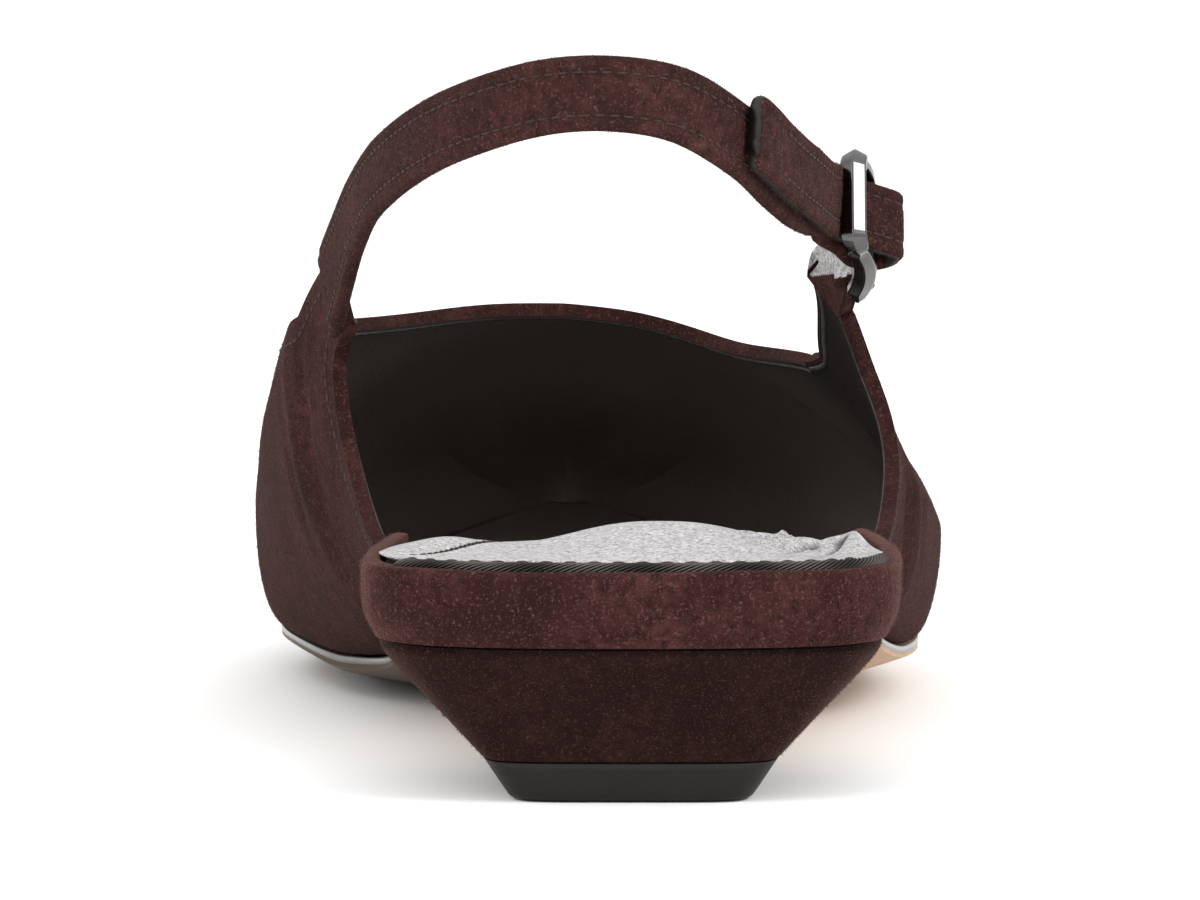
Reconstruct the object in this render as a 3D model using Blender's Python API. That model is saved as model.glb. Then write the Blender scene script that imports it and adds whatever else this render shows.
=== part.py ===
"""Right-foot slingback pump with a low covered heel.

The shoe is worked out in millimetres: x runs to the lateral (outer) side, y from
the back of the heel to the toe, z up from the floor. One empty carries all pieces
and puts the middle of the shoe's footprint on the origin, in metres.
"""

import math

import bpy
import numpy as np

MM = 0.001

# Main sizes of the last and the shoe
LENGTH = 262.0
BALL_WIDTH = 82.0
INSTEP_RISE = 50.0
HEEL_LIFT = 17.4
BALL_FEATHER_HEIGHT = 5.6
SEAT_HALF_WIDTH = 29.4

# Thicknesses and the clearance between two pieces
GAP = 0.3
UPPER_WALL = 1.6
STRAP_THICKNESS = 1.7
STRAP_WIDTH = 8.1
STRAP_ROOT_WIDTH = 10.8
STRAP_TAPER_LENGTH = 34.0
INSOLE_THICKNESS = 2.0
INSOLE_FLARE = 8.0
INSOLE_TOE_GAP = 4.0
LAYER_GAP = 0.35
SOLE_EDGE = 1.4
SOLE_OVERHANG = 0.5
SOLE_MIDDLE = 3.9
SOLE_DISH = 1.8
SOLE_BELLY = 2.4
# The dish is full where a layer is this share of the ball's width, and the insole's
# fades out between these heights of the feather edge, towards the heel
DISH_FULL_WIDTH = 0.625
DISH_FADE = (17.0, 23.0)

# Heel seat: heights of the rand's edges, and where rand, heel, sole and upper end
RAND_BOTTOM = 17.2
RAND_TOP = 25.5
RAND_WALL = 2.2
RAND_END = 51.0
HEEL_BREAST = 50.6
SOLE_BACK = 51.2
UPPER_BACK = 51.8

# Heel pad: its length, the edge's thickness and the hump over the seat
PAD_LENGTH = 84.0
PAD_EDGE = 0.8
PAD_HUMP = 2.8
PAD_HUMP_AT = 31.0
PAD_HUMP_LENGTH = 20.0
PAD_HUMP_WIDTH = 10.5

# Outline of the heel seat at the rand's outer face: along in mm, half width in
# percent of SEAT_HALF_WIDTH
SEAT = (
    (0.0, 0.0),
    (1.1, 46.0),
    (4.6, 78.0),
    (12.0, 95.5),
    (23.0, 100.0),
    (37.0, 97.0),
)

# Sections of the last, from the rand's front end to the toe tip. Columns:
# along, in percent of LENGTH; lift of the feather edge, in percent of HEEL_LIFT;
# feather edge, swell beyond it and ridge, in percent of BALL_WIDTH; heights of the
# swells and the ridge over the feather, in percent of INSTEP_RISE; roundness.
LAST_COLUMNS = ("along", "lift", "feather_m", "feather_l", "swell_m", "swell_h_m",
                "swell_l", "swell_h_l", "ridge", "ridge_h", "round_m", "round_l")
LAST = (
    (19.0, 100.0, -32.9, 32.9, 4.9, 36.0, 3.0, 20.0, -4.9, 108.0, 2.60, 1.70),
    (24.0, 86.0, -33.0, 32.9, 6.0, 42.0, 3.7, 22.0, -4.9, 108.0, 2.60, 1.70),
    (29.0, 60.0, -33.1, 32.9, 8.6, 52.0, 4.6, 28.0, -5.5, 108.0, 2.50, 1.68),
    (34.5, 30.0, -32.6, 34.1, 15.6, 61.0, 6.7, 32.0, -6.7, 107.0, 2.15, 1.24),
    (42.0, 9.0, -34.8, 37.8, 17.1, 55.0, 5.4, 32.0, -8.5, 100.0, 1.80, 1.36),
    (50.0, 3.0, -45.2, 40.9, 8.8, 42.0, 3.9, 26.0, -9.8, 89.4, 1.62, 1.34),
    (57.5, 0.0, -50.2, 40.6, 4.9, 31.0, 3.9, 23.0, -9.8, 79.6, 1.65, 1.50),
    (65.0, 0.0, -50.9, 37.0, 3.7, 25.0, 3.7, 21.0, -9.8, 69.8, 1.75, 1.65),
    (72.5, 3.0, -46.6, 30.1, 3.6, 21.0, 3.5, 19.0, -10.0, 59.4, 1.85, 1.80),
    (80.0, 8.6, -39.8, 21.5, 3.7, 18.0, 3.3, 17.0, -10.2, 48.6, 1.95, 1.90),
    (88.0, 17.0, -31.1, 11.7, 3.0, 15.0, 2.9, 14.4, -10.4, 37.0, 2.00, 2.00),
    (94.0, 24.7, -22.7, 3.2, 2.4, 12.0, 2.4, 12.0, -10.4, 27.0, 2.00, 2.00),
    (98.0, 29.0, -16.3, -3.7, 1.8, 9.0, 1.8, 9.0, -10.4, 17.6, 2.00, 2.00),
    (99.5, 31.0, -12.9, -7.6, 1.1, 5.2, 1.1, 5.2, -10.4, 9.6, 2.00, 2.00),
    (100.0, 31.6, -10.4, -10.4, 0.0, 0.0, 0.0, 0.0, -10.4, 0.0, 2.00, 2.00),
)

# Collar line in mm, along and height, up the medial back edge to the sling's root
MEDIAL_BACK = ((UPPER_BACK, 24.4), (60.0, 27.0), (67.0, 31.5), (72.5, 37.0), (74.8, 41.5))
SLING_ROOT = ((66.6, 46.9), (72.4, 56.0))
# How far the root's lower and upper corner stand outwards of the last
SLING_ROOT_FLARE = (0.0, -2.6)
# Throat line from the sling's root over the ridge to the root of the finger
THROAT_MEDIAL = ((88.0, 47.4), (97.0, 45.7), (111.0, 45.3), (128.0, 45.1), (143.0, 45.3))
THROAT_RIDGE_ALONG = 151.5
THROAT_LATERAL = ((147.0, 44.0), (139.0, 42.4), (125.0, 41.6), (107.0, 41.9), (95.0, 42.8), (87.2, 43.8))
FINGER_TIP = ((74.8, 53.4), (68.8, 48.8))
# Corners that the edges of the sling's root and of the finger lean to
MEDIAL_ROOT_BEND = ((74.8, 45.4), (83.0, 54.0))
FINGER_BEND = ((81.0, 49.4), (74.8, 45.0))
LATERAL_BACK = ((75.8, 42.0), (74.6, 38.0), (69.5, 32.6), (62.0, 28.0), (UPPER_BACK, 24.4))

# Where the columns of the upper's grid start on the feather edge, in mm along
MEDIAL_ROOT_FEATHER = (66.0, 78.0)
LATERAL_ROOT_FEATHER = (76.0, 66.0)

# Heel block and top piece, downwards: height, width in percent of the seat, back,
# breast, and how square the back is (1 as round as the seat)
HEEL_COLUMNS = ("height", "width", "back", "breast", "square")
HEEL = (
    (16.9, 94.4, 1.7, 50.6, 1.0),
    (15.6, 91.6, 2.1, 50.2, 1.05),
    (14.0, 87.0, 2.8, 49.5, 1.1),
    (9.3, 70.8, 5.0, 46.4, 1.35),
    (4.6, 55.1, 6.6, 43.4, 1.6),
)
TOP_PIECE = (
    (4.3, 54.3, 6.7, 43.2, 1.6),
    (1.0, 46.6, 7.5, 41.6, 1.7),
    (0.3, 44.6, 8.0, 41.1, 1.7),
    (0.0, 41.8, 9.0, 40.2, 1.7),
)

# Rand: height and inset from the seat outline, down its outer face
RAND_PROFILE = ((RAND_TOP, 0.9), (25.2, 0.25), (24.2, 0.0), (21.0, 0.1), (19.2, 0.5), (RAND_BOTTOM, 1.5))

# Sling: middle line from its root on the medial quarter to the buckle's rear bar
SLING_ROUTE = (
    (-32.4, 61.0, 56.0),
    (-30.4, 49.5, 61.4),
    (-27.7, 36.0, 66.0),
    (-22.9, 22.0, 70.3),
    (-17.2, 11.6, 73.4),
    (-9.5, 4.4, 75.9),
    (-2.0, 2.7, 76.4),
    (5.2, 6.0, 75.0),
    (11.4, 14.6, 71.0),
    (14.8, 23.0, 67.4),
    (17.4, 31.5, 64.8),
    (19.4, 40.0, 63.4),
)
SLING_TIP_ALONG = 13.5
SLING_TIP_SLANT = 2.0
SLING_TIP_RISE = 1.0
SLING_TIP_RISE_LENGTH = 10.0
SLING_TIP_RISE_END = 43.2

# Buckle: middle bar's centre, the way from rear to front bar, sizes across the strap
BUCKLE_CENTRE = (26.6, 53.2, 59.4)
BUCKLE_PITCH = 27.0
BUCKLE_REAR = -8.0
BUCKLE_FRONT = 8.0
BUCKLE_REAR_DROP = -1.8
BUCKLE_FRONT_DROP = -1.6
BUCKLE_HALF_WIDTH = 6.1
REAR_BAR = (2.6, 2.2)
RAIL = (1.5, 1.3)
BUCKLE_CORNER = 1.6
MIDDLE_BAR_RADIUS = 0.7
FOLD_RADIUS = 2.7
FOLD_TURN = (-70.0, 100.0)
FOLD_BACK = 0.5
# The strap's way to the middle bar and back under the rear bar, forward and outward
FOLD_IN = ((-5.0, -5.7), (-2.2, -3.7))
FOLD_OUT = ((-3.4, -0.4), (-6.0, -3.75))
TAB_WALL = 1.2
TAB_WIDTH = 6.8
TAB_MOUTH = 20.0
TAB_MOUTH_INSIDE = 7.0
TAB_LEAF = 0.84

# Points along the curves of the upper's grid
BACK_COLUMNS = 9
ROOT_COLUMNS = 6
THROAT_COLUMNS = 45
WALL_ROWS = 12
STRIP_ROWS = 6
# Points along the sling, round its fold and along the other pieces
SLING_POINTS = 44
FOLD_POINTS = 22
OUTSOLE_RINGS = 40
INSOLE_RINGS = 44
PAD_RINGS = 26
HEEL_POINTS = 41
RAND_POINTS = 49
BUCKLE_POINTS = 48

# Finish of each node: colour, roughness, metallic
FINISH = {
    "outsole": ((0.58, 0.36, 0.20), 0.45, 0.0),
    "insole": ((0.30, 0.27, 0.24), 0.80, 0.0),
    "sock_pad": ((0.60, 0.59, 0.58), 0.45, 0.2),
    "heel": ((0.050, 0.022, 0.020), 0.95, 0.0),
    "top_piece": ((0.022, 0.022, 0.021), 0.60, 0.0),
    "heel_rand": ((0.055, 0.024, 0.022), 0.95, 0.0),
    "upper": ((0.050, 0.022, 0.020), 0.95, 0.0),
    "sling_strap": ((0.050, 0.022, 0.020), 0.95, 0.0),
    "buckle_frame": ((0.55, 0.55, 0.56), 0.15, 1.0),
    "buckle_tab": ((0.045, 0.020, 0.018), 0.95, 0.0),
}


def clear_scene():
    for item in list(bpy.data.objects):
        bpy.data.objects.remove(item, do_unlink=True)


def smooth(rows, at):
    """Points at the row numbers `at` on a cubic curve through the rows."""
    rows = np.asarray(rows, float)
    at = np.asarray(at, float)
    slope = np.gradient(rows, axis=0)
    first = np.clip(np.floor(at).astype(int), 0, len(rows) - 2)
    second = first + 1
    f = (at - first)[:, None]
    ahead = f * f * (3 - 2 * f)
    leave = f * (1 - f) ** 2
    arrive = f * f * (f - 1)
    return rows[first] * (1 - ahead) + rows[second] * ahead + slope[first] * leave + slope[second] * arrive


def even(points, count):
    """The open polyline's points spaced evenly along it."""
    points = np.asarray(points, float)
    reach = np.concatenate(([0], np.cumsum(np.linalg.norm(np.diff(points, axis=0), axis=1))))
    wanted = np.linspace(0, reach[-1], count)
    return np.stack([np.interp(wanted, reach, column) for column in points.T], axis=1)


def through(rows, count):
    """Evenly spaced points on a smooth curve through the rows."""
    fine = smooth(rows, np.linspace(0, len(rows) - 1, 24 * len(rows)))
    return even(fine, count)


def unit(vectors):
    return vectors / np.linalg.norm(vectors, axis=-1, keepdims=True)


def last_sizes(station):
    """Real sizes of the last's sections at the given row numbers of the table."""
    share = dict(zip(LAST_COLUMNS, smooth(LAST, station).T))
    size = {"along": share["along"] * LENGTH / 100}
    size["feather"] = BALL_FEATHER_HEIGHT + share["lift"] * HEEL_LIFT / 100
    for name in ("feather_m", "feather_l", "swell_m", "swell_l", "ridge"):
        size[name + "_x"] = share[name] * BALL_WIDTH / 100
    for name in ("swell_h_m", "swell_h_l", "ridge_h"):
        size[name] = share[name] * INSTEP_RISE / 100
    size["round_m"] = share["round_m"]
    size["round_l"] = share["round_l"]
    return size


STATIONS = np.linspace(0, len(LAST) - 1, 40 * (len(LAST) - 1) + 1)
STATION_ALONG = last_sizes(STATIONS)["along"]


def station_at(along):
    return np.interp(along, STATION_ALONG, STATIONS)


def half_sections(station, side):
    """Half sections from the feather edge to the ridge, side -1 medial, 1 lateral.

    The curve leaves the feather under the foot, stands upright at the widest point
    and rounds over to the ridge as a superellipse.
    """
    size = last_sizes(station)
    tag = "m" if side < 0 else "l"
    edge = size["feather_" + tag + "_x"]
    wide = edge + side * size["swell_" + tag + "_x"]
    wide_h = size["swell_h_" + tag]
    turn = np.linspace(0, math.pi / 2, 30)[None, :]
    low_x = edge[:, None] + (wide - edge)[:, None] * np.sin(turn)
    low_z = wide_h[:, None] * (1 - np.cos(turn))
    power = 2 / size["round_" + tag][:, None]
    over = np.linspace(0, math.pi / 2, 70)[None, 1:]
    ridge = size["ridge_x"][:, None]
    high_x = ridge + (wide[:, None] - ridge) * np.maximum(np.cos(over), 0) ** power
    high_z = wide_h[:, None] + (size["ridge_h"] - wide_h)[:, None] * np.sin(over) ** power
    x = np.concatenate((low_x, high_x), axis=1)
    z = size["feather"][:, None] + np.concatenate((low_z, high_z), axis=1)
    y = np.broadcast_to(size["along"][:, None], x.shape)
    return np.stack((x, y, z), axis=2)


def last_points(station, climb):
    """Points of the last: climb runs from -1, medial feather, over 0, the ridge, to 1."""
    station = np.asarray(station, float)
    climb = np.asarray(climb, float)
    found = np.zeros((len(station), 3))
    for side in (-1, 1):
        mine = climb <= 0 if side < 0 else climb > 0
        if not mine.any():
            continue
        curve = half_sections(station[mine], side)
        steps = np.linalg.norm(np.diff(curve, axis=1), axis=2)
        reach = np.concatenate((np.zeros((len(curve), 1)), np.cumsum(steps, axis=1)), axis=1)
        wanted = (1 - np.abs(climb[mine])) * reach[:, -1]
        index = np.clip((reach < wanted[:, None]).sum(axis=1) - 1, 0, reach.shape[1] - 2)
        row = np.arange(len(curve))
        span = np.maximum(reach[row, index + 1] - reach[row, index], 1e-9)
        part = np.clip((wanted - reach[row, index]) / span, 0, 1)[:, None]
        found[mine] = curve[row, index] * (1 - part) + curve[row, index + 1] * part
    return found


def climb_to(along, height, side):
    """How far up its half section the last reaches the height, as a climb value."""
    curve = half_sections(np.array([station_at(along)]), side)[0]
    steps = np.linalg.norm(np.diff(curve, axis=0), axis=1)
    reach = np.concatenate(([0], np.cumsum(steps)))
    return side * (1 - np.interp(height, curve[:, 2], reach) / reach[-1])


def on_last(rows, side):
    """Station and climb of each along-and-height row on one side of the last."""
    return np.array([(station_at(along), climb_to(along, height, side)) for along, height in rows])


def seat_outline(count, front=RAND_END):
    """Seat outline in plan, from the medial front round the back to the lateral front."""
    rows = [(SEAT_HALF_WIDTH * width / 100, along) for along, width in SEAT]
    rows.append((-LAST[0][2] * BALL_WIDTH / 100, front))
    medial = [(-x, y) for x, y in rows[:0:-1]]
    return through(medial + rows, count)


def inset_open(outline, inset):
    """The open outline moved to its left by the inset, which is towards the foot."""
    tangent = unit(np.gradient(outline, axis=0))
    normal = np.stack((-tangent[:, 1], tangent[:, 0]), axis=1)
    return outline + normal * np.asarray(inset, float).reshape(-1, 1)


def add_piece(name, points, faces, carrier):
    """One closed piece in millimetres, its faces turned outwards."""
    mesh = bpy.data.meshes.new(name)
    mesh.from_pydata((np.asarray(points) * MM).tolist(), [], faces)
    mesh.validate()
    piece = bpy.data.objects.new(name, mesh)
    bpy.context.collection.objects.link(piece)
    piece.parent = carrier
    colour, roughness, metallic = FINISH.get(name, FINISH["buckle_frame"])
    material = bpy.data.materials.new(name)
    material.use_nodes = True
    shader = material.node_tree.nodes["Principled BSDF"]
    shader.inputs["Base Color"].default_value = (*colour, 1.0)
    shader.inputs["Roughness"].default_value = roughness
    shader.inputs["Metallic"].default_value = metallic
    mesh.materials.append(material)
    mesh.shade_smooth()
    mesh.set_sharp_from_angle(angle=math.radians(40))
    return piece


def volume(points, faces):
    """Signed volume, positive where the faces point outwards."""
    total = 0.0
    for face in faces:
        for second, third in zip(face[1:-1], face[2:]):
            total += np.dot(points[face[0]], np.cross(points[second], points[third]))
    return total / 6


def outwards(points, faces):
    if volume(points, faces) < 0:
        return [face[::-1] for face in faces]
    return faces


def loft(name, rings, carrier):
    """A solid through closed rings of equal length, with flat ends."""
    rings = np.asarray(rings, float)
    many, around = rings.shape[:2]
    points = rings.reshape(-1, 3)
    faces = []
    for ring in range(many - 1):
        for step in range(around):
            beside = (step + 1) % around
            low = ring * around
            high = low + around
            faces.append((low + step, low + beside, high + beside, high + step))
    faces.append(tuple(range(around))[::-1])
    faces.append(tuple(range((many - 1) * around, many * around)))
    return add_piece(name, points, outwards(points, faces), carrier)


def closed_loft(name, rings, carrier):
    """A ring-shaped solid through closed rings, the last one joined to the first."""
    rings = np.asarray(rings, float)
    many, around = rings.shape[:2]
    points = rings.reshape(-1, 3)
    faces = []
    for ring in range(many):
        for step in range(around):
            beside = (step + 1) % around
            low = ring * around
            high = (ring + 1) % many * around
            faces.append((low + step, low + beside, high + beside, high + step))
    return add_piece(name, points, outwards(points, faces), carrier)


def sole_strip(back, front, count, inset):
    """Edges of a sole layer: along, medial x, lateral x and feather height.

    Behind the last's first section the edges are the seat outline. The inset at each
    place is taken square to the outline.
    """
    station = np.linspace(0, len(LAST) - 1, 200)
    size = last_sizes(station)
    seat = seat_outline(161, size["along"][0])
    middle = len(seat) // 2
    seat_along = seat[middle:, 1]
    medial = np.concatenate((seat[:middle + 1][::-1][:-1], np.stack((size["feather_m_x"], size["along"]), 1)))
    lateral = np.concatenate((seat[middle:][:-1], np.stack((size["feather_l_x"], size["along"]), 1)))
    lift = np.concatenate((np.full(len(seat_along) - 1, size["feather"][0]), size["feather"]))
    outline = np.concatenate((lateral, medial[::-1][1:]))
    tangent = unit(np.gradient(outline, axis=0))
    normal = np.stack((-tangent[:, 1], tangent[:, 0]), axis=1)
    moved = outline + normal * inset(outline[:, 1])[:, None]
    half = len(lateral)
    lateral = np.column_stack((moved[:half], lift))
    medial = moved[half - 1:][::-1]
    kept = (lateral[:, 1] > max(back, lateral[0, 1] + 0.02)) & (lateral[:, 1] < front)
    lateral = even(lateral[kept], count)
    along = lateral[:, 1]
    order = np.argsort(medial[:, 1])
    medial_x = np.interp(along, medial[order, 1], medial[order, 0])
    return along, medial_x, lateral[:, 0], lateral[:, 2]


def dish_share(width):
    """How much of the dish a layer of this width has."""
    return np.minimum(width / (BALL_WIDTH * DISH_FULL_WIDTH), 1.0)


def outsole_inset(along):
    return np.full(len(along), -SOLE_OVERHANG)


def build_outsole(carrier):
    """Sole from the heel breast to the toe: a thin edge, a dished top and a full, flat tread."""
    along, medial, lateral, lift = sole_strip(SOLE_BACK, LENGTH, OUTSOLE_RINGS, outsole_inset)
    across = np.array((-1.0, -0.86, -0.6, -0.3, 0.0, 0.3, 0.6, 0.86, 1.0))
    bend = 1 - across ** 2
    belly = 1 - np.abs(across) ** SOLE_BELLY
    rings = []
    for y, left, right, feather in zip(along, medial, lateral, lift):
        width = right - left
        x = (left + right) / 2 + across * width / 2
        fade = dish_share(width)
        top = feather - GAP - SOLE_DISH * fade * bend
        edge = feather - GAP - SOLE_EDGE
        middle = feather - GAP - SOLE_DISH * fade - SOLE_EDGE - (SOLE_MIDDLE - SOLE_EDGE) * fade
        bottom = np.maximum(edge + (middle - edge) * belly, 0.0)
        upper_row = np.column_stack((x, np.full(len(x), y), top))
        lower_row = np.column_stack((x, np.full(len(x), y), bottom))
        rings.append(np.concatenate((upper_row, lower_row[::-1])))
    return loft("outsole", rings, carrier)


def insole_inset(along):
    """Inside the rand at the heel, inside the upper's turned-in edge in front of it."""
    share = np.clip((along - UPPER_BACK) / INSOLE_FLARE, 0, 1)
    ease = share * share * (3 - 2 * share)
    return (RAND_WALL + 2 * GAP) * (1 - ease) + (UPPER_WALL + GAP) * ease


def insole_top(feather, width, across):
    """Heights across the insole, dished in front and flat over the heel seat."""
    low, high = DISH_FADE
    fade = dish_share(width) * np.clip((high - feather) / (high - low), 0, 1)
    return feather + INSOLE_THICKNESS - SOLE_DISH * fade * (1 - across ** 2)


def build_insole(carrier):
    """Thin board over heel seat and outsole, dished with the outsole."""
    along, medial, lateral, lift = sole_strip(0.0, LENGTH - INSOLE_TOE_GAP, INSOLE_RINGS, insole_inset)
    across = np.array((-1.0, -0.7, -0.35, 0.0, 0.35, 0.7, 1.0))
    rings = []
    for y, left, right, feather in zip(along, medial, lateral, lift):
        x = (left + right) / 2 + across * (right - left) / 2
        top = insole_top(feather, right - left, across)
        upper_row = np.column_stack((x, np.full(len(x), y), top))
        lower_row = upper_row - (0, 0, INSOLE_THICKNESS)
        rings.append(np.concatenate((upper_row, lower_row[::-1])))
    return loft("insole", rings, carrier)


def build_sock_pad(carrier):
    """Padded sock on the insole: thin at its edge, crowned over the heel seat."""
    along, medial, lateral, lift = sole_strip(0.0, PAD_LENGTH, PAD_RINGS, insole_inset)
    across = np.array((-1.0, -0.8, -0.55, -0.28, 0.0, 0.28, 0.55, 0.8, 1.0))
    rings = []
    for y, left, right, feather in zip(along, medial, lateral, lift):
        x = (left + right) / 2 + across * (right - left) / 2
        base = insole_top(feather, right - left, across) + GAP
        hump = PAD_HUMP * np.exp(-((y - PAD_HUMP_AT) / PAD_HUMP_LENGTH) ** 2 - (x / PAD_HUMP_WIDTH) ** 2)
        upper_row = np.column_stack((x, np.full(len(x), y), base + PAD_EDGE + hump))
        lower_row = np.column_stack((x, np.full(len(x), y), base))
        rings.append(np.concatenate((upper_row, lower_row[::-1])))
    return loft("sock_pad", rings, carrier)


def heel_ring(height, width, back, breast, square):
    """Closed D outline of the heel: the seat outline narrowed, set back and cut at the breast."""
    outline = seat_outline(HEEL_POINTS)
    across = outline[:, 0] * width / 100
    along = back + (breast - back) * np.clip(outline[:, 1] / RAND_END, 0, 1) ** square
    front = np.linspace(1, -1, 9)[1:-1]
    across = np.concatenate((across, across[-1] * front))
    along = np.concatenate((along, np.full(len(front), breast)))
    return np.column_stack((across, along, np.full(len(along), height)))


def build_heel(carrier):
    """Covered block, with a core that stands inside the rand and carries the insole."""
    core_low = HEEL[0][0]
    core_high = BALL_FEATHER_HEIGHT + HEEL_LIFT - 2 * GAP
    core_inset = RAND_WALL + 2 * GAP
    core_width = 100 * (1 - core_inset / SEAT_HALF_WIDTH)
    rings = [heel_ring(**dict(zip(HEEL_COLUMNS, row))) for row in HEEL[::-1]]
    for height in (core_low, core_high):
        rings.append(heel_ring(height, core_width, core_inset, HEEL_BREAST, 1.0))
    return loft("heel", rings, carrier)


def build_top_piece(carrier):
    rings = [heel_ring(**dict(zip(HEEL_COLUMNS, row))) for row in TOP_PIECE[::-1]]
    return loft("top_piece", rings, carrier)


def build_heel_rand(carrier):
    """Suede band around the heel seat: a soft profile carried along the seat outline."""
    outline = seat_outline(RAND_POINTS)
    rings = []
    inner = ((RAND_BOTTOM, RAND_WALL), (RAND_TOP - 0.2, RAND_WALL), (RAND_TOP, RAND_WALL - 0.4))
    profile = RAND_PROFILE + inner
    lines = [np.column_stack((inset_open(outline, inset), np.full(len(outline), height)))
             for height, inset in profile]
    for step in range(len(outline)):
        rings.append([line[step] for line in lines])
    return loft("heel_rand", rings, carrier)


def grid_faces(start, columns, rows):
    """Quads of a grid whose points are numbered column by column."""
    faces = []
    for column in range(columns - 1):
        for row in range(rows - 1):
            corner = start + column * rows + row
            faces.append((corner, corner + 1, corner + rows + 1, corner + rows))
    return faces


def bend_between(first, corner, last, count):
    """Even points on the arc-like curve from first to last that leans to the corner."""
    share = np.linspace(0, 1, count)[:, None]
    return first * (1 - share) ** 2 + 2 * corner * share * (1 - share) + last * share ** 2


def upper_columns():
    """Collar and feather ends of the grid's columns, as station and climb, and its root spans."""
    medial_back = through(on_last(MEDIAL_BACK, -1), BACK_COLUMNS)
    throat = np.concatenate((on_last(THROAT_MEDIAL, -1),
                             [(station_at(THROAT_RIDGE_ALONG), 0.0)],
                             on_last(THROAT_LATERAL, 1)))
    throat = through(throat, THROAT_COLUMNS)
    lateral_back = through(on_last(LATERAL_BACK, 1), BACK_COLUMNS)
    medial_root = np.linspace(medial_back[-1], throat[0], ROOT_COLUMNS)
    lateral_root = np.linspace(throat[-1], lateral_back[0], ROOT_COLUMNS)
    collar = np.concatenate((medial_back, medial_root[1:-1], throat, lateral_root[1:-1], lateral_back))
    tip = len(LAST) - 1.0
    half_throat = THROAT_COLUMNS // 2 + 1
    back, low, high = station_at(np.array((UPPER_BACK,) + MEDIAL_ROOT_FEATHER))
    medial = np.concatenate((np.linspace(back, low, BACK_COLUMNS),
                             np.linspace(low, high, ROOT_COLUMNS)[1:-1],
                             np.linspace(high, tip, half_throat)))
    high, low, back = station_at(np.array(LATERAL_ROOT_FEATHER + (UPPER_BACK,)))
    lateral = np.concatenate((np.linspace(tip, high, half_throat)[1:],
                              np.linspace(high, low, ROOT_COLUMNS)[1:-1],
                              np.linspace(low, back, BACK_COLUMNS)))
    side = np.concatenate((np.full(len(medial) - 1, -1.0), [0.0], np.full(len(lateral), 1.0)))
    feather = np.column_stack((np.concatenate((medial, lateral)), side))
    medial_span = slice(BACK_COLUMNS - 1, BACK_COLUMNS - 1 + ROOT_COLUMNS)
    lateral_span = slice(len(collar) - medial_span.stop, len(collar) - medial_span.start)
    return collar, feather, medial_span, lateral_span


def build_upper(carrier):
    """Vamp and quarters as one wall on the last, open at the collar, the heel and underneath.

    Columns run from the feather edge to the collar line. The sling's root and the
    buckle's finger grow from the collar as two more strips.
    """
    collar, feather, medial_root, lateral_root = upper_columns()
    climb = np.linspace(0, 1, WALL_ROWS)[None, :, None]
    place = feather[:, None, :] * (1 - climb) + collar[:, None, :] * climb
    points = [last_points(place[..., 0].ravel(), place[..., 1].ravel())]
    faces = grid_faces(0, len(collar), WALL_ROWS)
    strips = ((medial_root, SLING_ROOT, -1, MEDIAL_ROOT_BEND), (lateral_root, FINGER_TIP, 1, FINGER_BEND))
    for span, tip, side, bend in strips:
        base = last_points(*collar[span].T)[:, 1:]
        end = np.linspace(tip[0], tip[1], len(base))
        corner = np.linspace(bend[0], bend[1], len(base))
        strip = np.stack([bend_between(a, b, c, STRIP_ROWS) for a, b, c in zip(base, corner, end)])
        strip = on_last(strip.reshape(-1, 2), side)
        strip[::STRIP_ROWS] = collar[span]
        start = sum(len(part) for part in points)
        strip_points = last_points(*strip.T)
        if side < 0:
            flare = np.linspace(SLING_ROOT_FLARE[0], SLING_ROOT_FLARE[1], len(base))
            strip_points[:, 0] += np.outer(flare, np.linspace(0, 1, STRIP_ROWS) ** 1.5).ravel()
        points.append(strip_points)
        faces += grid_faces(start, len(base), STRIP_ROWS)
    points = np.concatenate(points)
    points, faces = welded(points, faces)
    piece = add_piece("upper", points, faces, carrier)
    wall = piece.modifiers.new("wall", "SOLIDIFY")
    wall.thickness = UPPER_WALL * MM
    wall.offset = -1.0
    return piece


def welded(points, faces, reach=0.01):
    """Points closer than the reach made one, and faces without repeated corners."""
    keys = np.round(points / reach).astype(int)
    _, first, number = np.unique(keys, axis=0, return_index=True, return_inverse=True)
    number = number.ravel()
    kept = []
    for face in faces:
        corners = []
        for corner in face:
            if number[corner] not in corners:
                corners.append(int(number[corner]))
        if len(corners) > 2:
            kept.append(tuple(corners))
    return points[first], kept


def buckle_axes():
    """Ways along the strap to the toe, across the strap upwards, and outwards."""
    pitch = math.radians(BUCKLE_PITCH)
    forward = np.array((0.0, math.cos(pitch), -math.sin(pitch)))
    across = np.array((0.0, math.sin(pitch), math.cos(pitch)))
    return forward, across, np.array((1.0, 0.0, 0.0))


def in_buckle(forward_by, across_by, out_by):
    forward, across, out = buckle_axes()
    return np.array(BUCKLE_CENTRE) + forward * forward_by + across * across_by + out * out_by


def band_rings(centres, widths, half_width, half_thickness):
    """Flat rounded sections along a path, wide along `widths`, thick square to both."""
    tangent = unit(np.gradient(centres, axis=0))
    widths = unit(widths - tangent * np.sum(widths * tangent, axis=1, keepdims=True))
    thick = np.cross(tangent, widths)
    soft = half_thickness * 0.6
    half_width = np.broadcast_to(half_width, len(centres))[:, None]
    corners = ((half_width - soft, half_thickness), (half_width, half_thickness - soft))
    corners += tuple((a, -b) for a, b in corners[::-1])
    corners += tuple((-a, -b) for a, b in corners)
    return np.stack([centres + widths * a + thick * b for a, b in corners], axis=1)


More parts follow.
